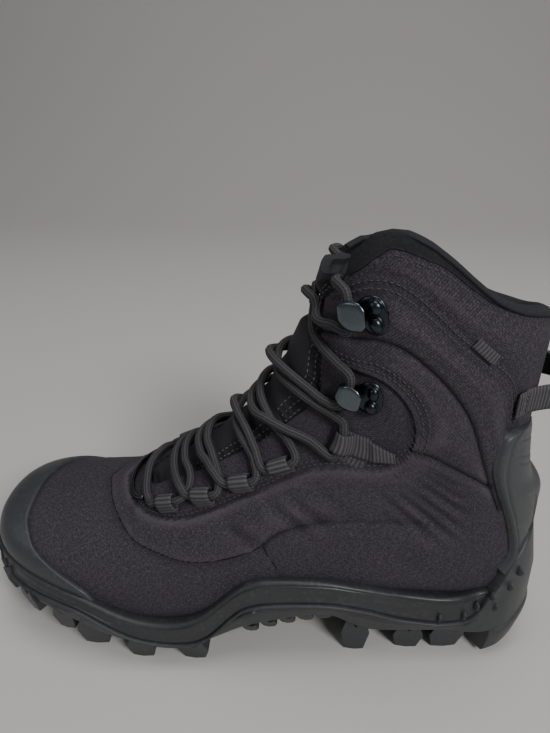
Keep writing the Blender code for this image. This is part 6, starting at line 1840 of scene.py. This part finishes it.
def pull_loop():
    """The pull loop's tape, standing on edge round the shaft's back, with a box of stitches on each seat."""
    lift = GAP + PULL_THICK / 2 + 0.5
    outer = [(x, shaft_side(x, -1) - lift) for x in PULL_SEAT] + [(x, -y) for x, y in PULL_FREE]
    inner = [(x, shaft_side(x, 1) + lift) for x in PULL_SEAT] + PULL_FREE[:-1]
    plan = through(outer + inner[::-1], 160)

    def at(x, height, y):
        return np.stack(np.broadcast_arrays(x, y, PULL_HEIGHT + height), -1)

    strip = tape(at, plan, [PULL_HALF, PULL_HALF], PULL_THICK)
    made = piece("pull_loop_tape", [strip], TAPE_FINISH, out=True)
    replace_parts(made, "pull_loop")
    along = np.gradient(plan, axis=0)
    inwards = unit(np.stack([-along[:, 1], along[:, 0]], -1)) * (PULL_THICK / 2 + 0.25)
    # A near-black strip on the loop's inner face: painted shade.
    strip = tape(at, (plan + inwards)[26:-26], [PULL_HALF - 0.7] * 2, 0.4)
    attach(piece("pull_loop_inside_shade", [strip], LOOP_INSIDE_SHADE, out=True), "root")
    half, length = PULL_SEAT_BOX
    parts = []
    for seat, side in ((outer, -1), (inner, 1)):
        x = np.array([PULL_SEAT[0] + 1.5, PULL_SEAT[0] + 1.5 + length])
        y = np.interp(x, *np.array(seat[:4]).T) + side * (PULL_THICK / 2 + 0.1)
        run = unit(np.array([x[1] - x[0], y[1] - y[0], 0.0]))
        out = np.array([-run[1], run[0], 0.0]) * side
        start = np.array([x[0], y[0], PULL_HEIGHT])
        corners = [(0, -half), (length, -half), (length, half), (0, half), (0, -half)]
        for (a, b), (c, d) in list(zip(corners, corners[1:])) + [((0, -half), (length, half))]:
            ends = np.array([start + run * a + [0, 0, b], start + run * c + [0, 0, d]])
            line = ends[0] + (ends[1] - ends[0]) * np.linspace(0, 1, 12)[:, None]
            parts.append(dashes(line, np.broadcast_to(out, line.shape), 1.6, 2.2, 0.3))
    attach(piece("pull_loop_stitches", parts, THREAD_FINISH), "root")


def side_tag():
    """A plain patch of tape laid on the cloth."""
    at = local_map(*TAG)
    length, height, thick = TAG_SIZE
    lift = GAP + thick / 2
    patch = tape(at, [(-length, lift), (length, lift)], [height] * 2, thick, ribs=0.12)
    made = piece("side_tag_patch", [patch], TAPE_FINISH, out=True)
    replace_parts(made, "side_tag")


def footbed_finish():
    """Brushed felt over foam, worn a little smooth."""
    made, tree, shader = finish("footbed_felt", (0.022, 0.022, 0.024), 0.95, specular=0.2)
    place = object_place(tree)
    fluff = noise(tree, place, 700.0, 4.0, 0.7)
    wear = use_group(tree, WEAR, place)
    tone = blended(tree, fluff, (0.014, 0.014, 0.016), (0.045, 0.044, 0.047))
    tone = blended(tree, maths(tree, "MULTIPLY", wear.outputs["Clouds"], 0.3), tone, (0.05, 0.049, 0.05))
    tree.links.new(tone, shader.inputs["Base Color"])
    bumped(tree, shader, fluff, 0.4, 0.0004)
    return made


pull_loop()
side_tag()
for held in bpy.data.objects["insole"].material_slots:
    held.material = footbed_finish()

# ---------------------------------------------------------------- floor, light and camera
# A plain pale floor, three soft lamps and the camera at the height of a person looking down at the boot.

CAMERA_PLACE = (23.65, -228.85, 262.6)
CAMERA_DOWN, CAMERA_TURN = 27.06, 3.96  # degrees
CAMERA_LENS, SENSOR = 26.84, 36.0
BACKDROP, BACKDROP_BEND = 0.9, 1.0  # y where the floor starts to rise, and the bend's radius


def plain_floor():
    """A floor that bends up into a wall behind the boot, as a studio's paper backdrop does."""
    made = finish("floor_paint", (0.60, 0.575, 0.545), 0.9, specular=0.2)[0]
    bend = np.radians(np.linspace(0, 90, 16))
    y = np.concatenate([[-4.0], BACKDROP + np.sin(bend) * BACKDROP_BEND, [BACKDROP + BACKDROP_BEND]])
    z = np.concatenate([[0.0], BACKDROP_BEND * (1 - np.cos(bend)), [4.0]])
    points = np.stack(np.broadcast_arrays(np.array([-4.0, 4.0])[:, None], y, z), -1).reshape(-1, 3)
    mesh = bpy.data.meshes.new("floor")
    mesh.from_pydata(points.tolist(), [], grid_faces(2, len(y)).tolist())
    mesh.shade_smooth()
    mesh.materials.append(made)
    obj = bpy.data.objects.new("floor", mesh)
    bpy.context.scene.collection.objects.link(obj)


def lamp(name, place, aim, size, power, colour=(1.0, 1.0, 1.0)):
    """A square area lamp that looks at a point."""
    light = bpy.data.lights.new(name, "AREA")
    light.shape, light.size, light.energy, light.color = "SQUARE", size, power, colour
    obj = bpy.data.objects.new(name, light)
    obj.location = place
    look = np.array(aim, float) - np.array(place, float)
    obj.rotation_mode = "QUATERNION"
    obj.rotation_quaternion = Vector(look).to_track_quat("-Z", "Y")
    bpy.context.scene.collection.objects.link(obj)


def camera():
    """The camera at its place, turned and tilted by its angles."""
    lens = bpy.data.cameras.new("camera")
    lens.sensor_width, lens.lens = SENSOR, CAMERA_LENS
    lens.clip_start, lens.clip_end = 0.01, 50.0
    obj = bpy.data.objects.new("camera", lens)
    obj.location = [c * MM for c in CAMERA_PLACE]
    obj.rotation_euler = (np.radians(90 - CAMERA_DOWN), 0.0, np.radians(CAMERA_TURN))
    bpy.context.scene.collection.objects.link(obj)
    bpy.context.scene.camera = obj


plain_floor()
lamp("window", (0.85, -1.1, 1.2), (0.0, 0.0, 0.08), 0.5, 18.5)
lamp("fill_left", (-1.2, -0.5, 0.9), (0.0, 0.0, 0.08), 0.6, 2.0, (0.95, 0.97, 1.0))
lamp("above", (0.1, 0.0, 1.6), (0.0, 0.0, 0.1), 0.8, 8.0)
world = bpy.data.worlds.new("room")
world.use_nodes = True
sky = world.node_tree.nodes["Background"].inputs
sky[0].default_value, sky[1].default_value = (0.72, 0.74, 0.78, 1.0), 0.2
bpy.context.scene.world = world
camera()
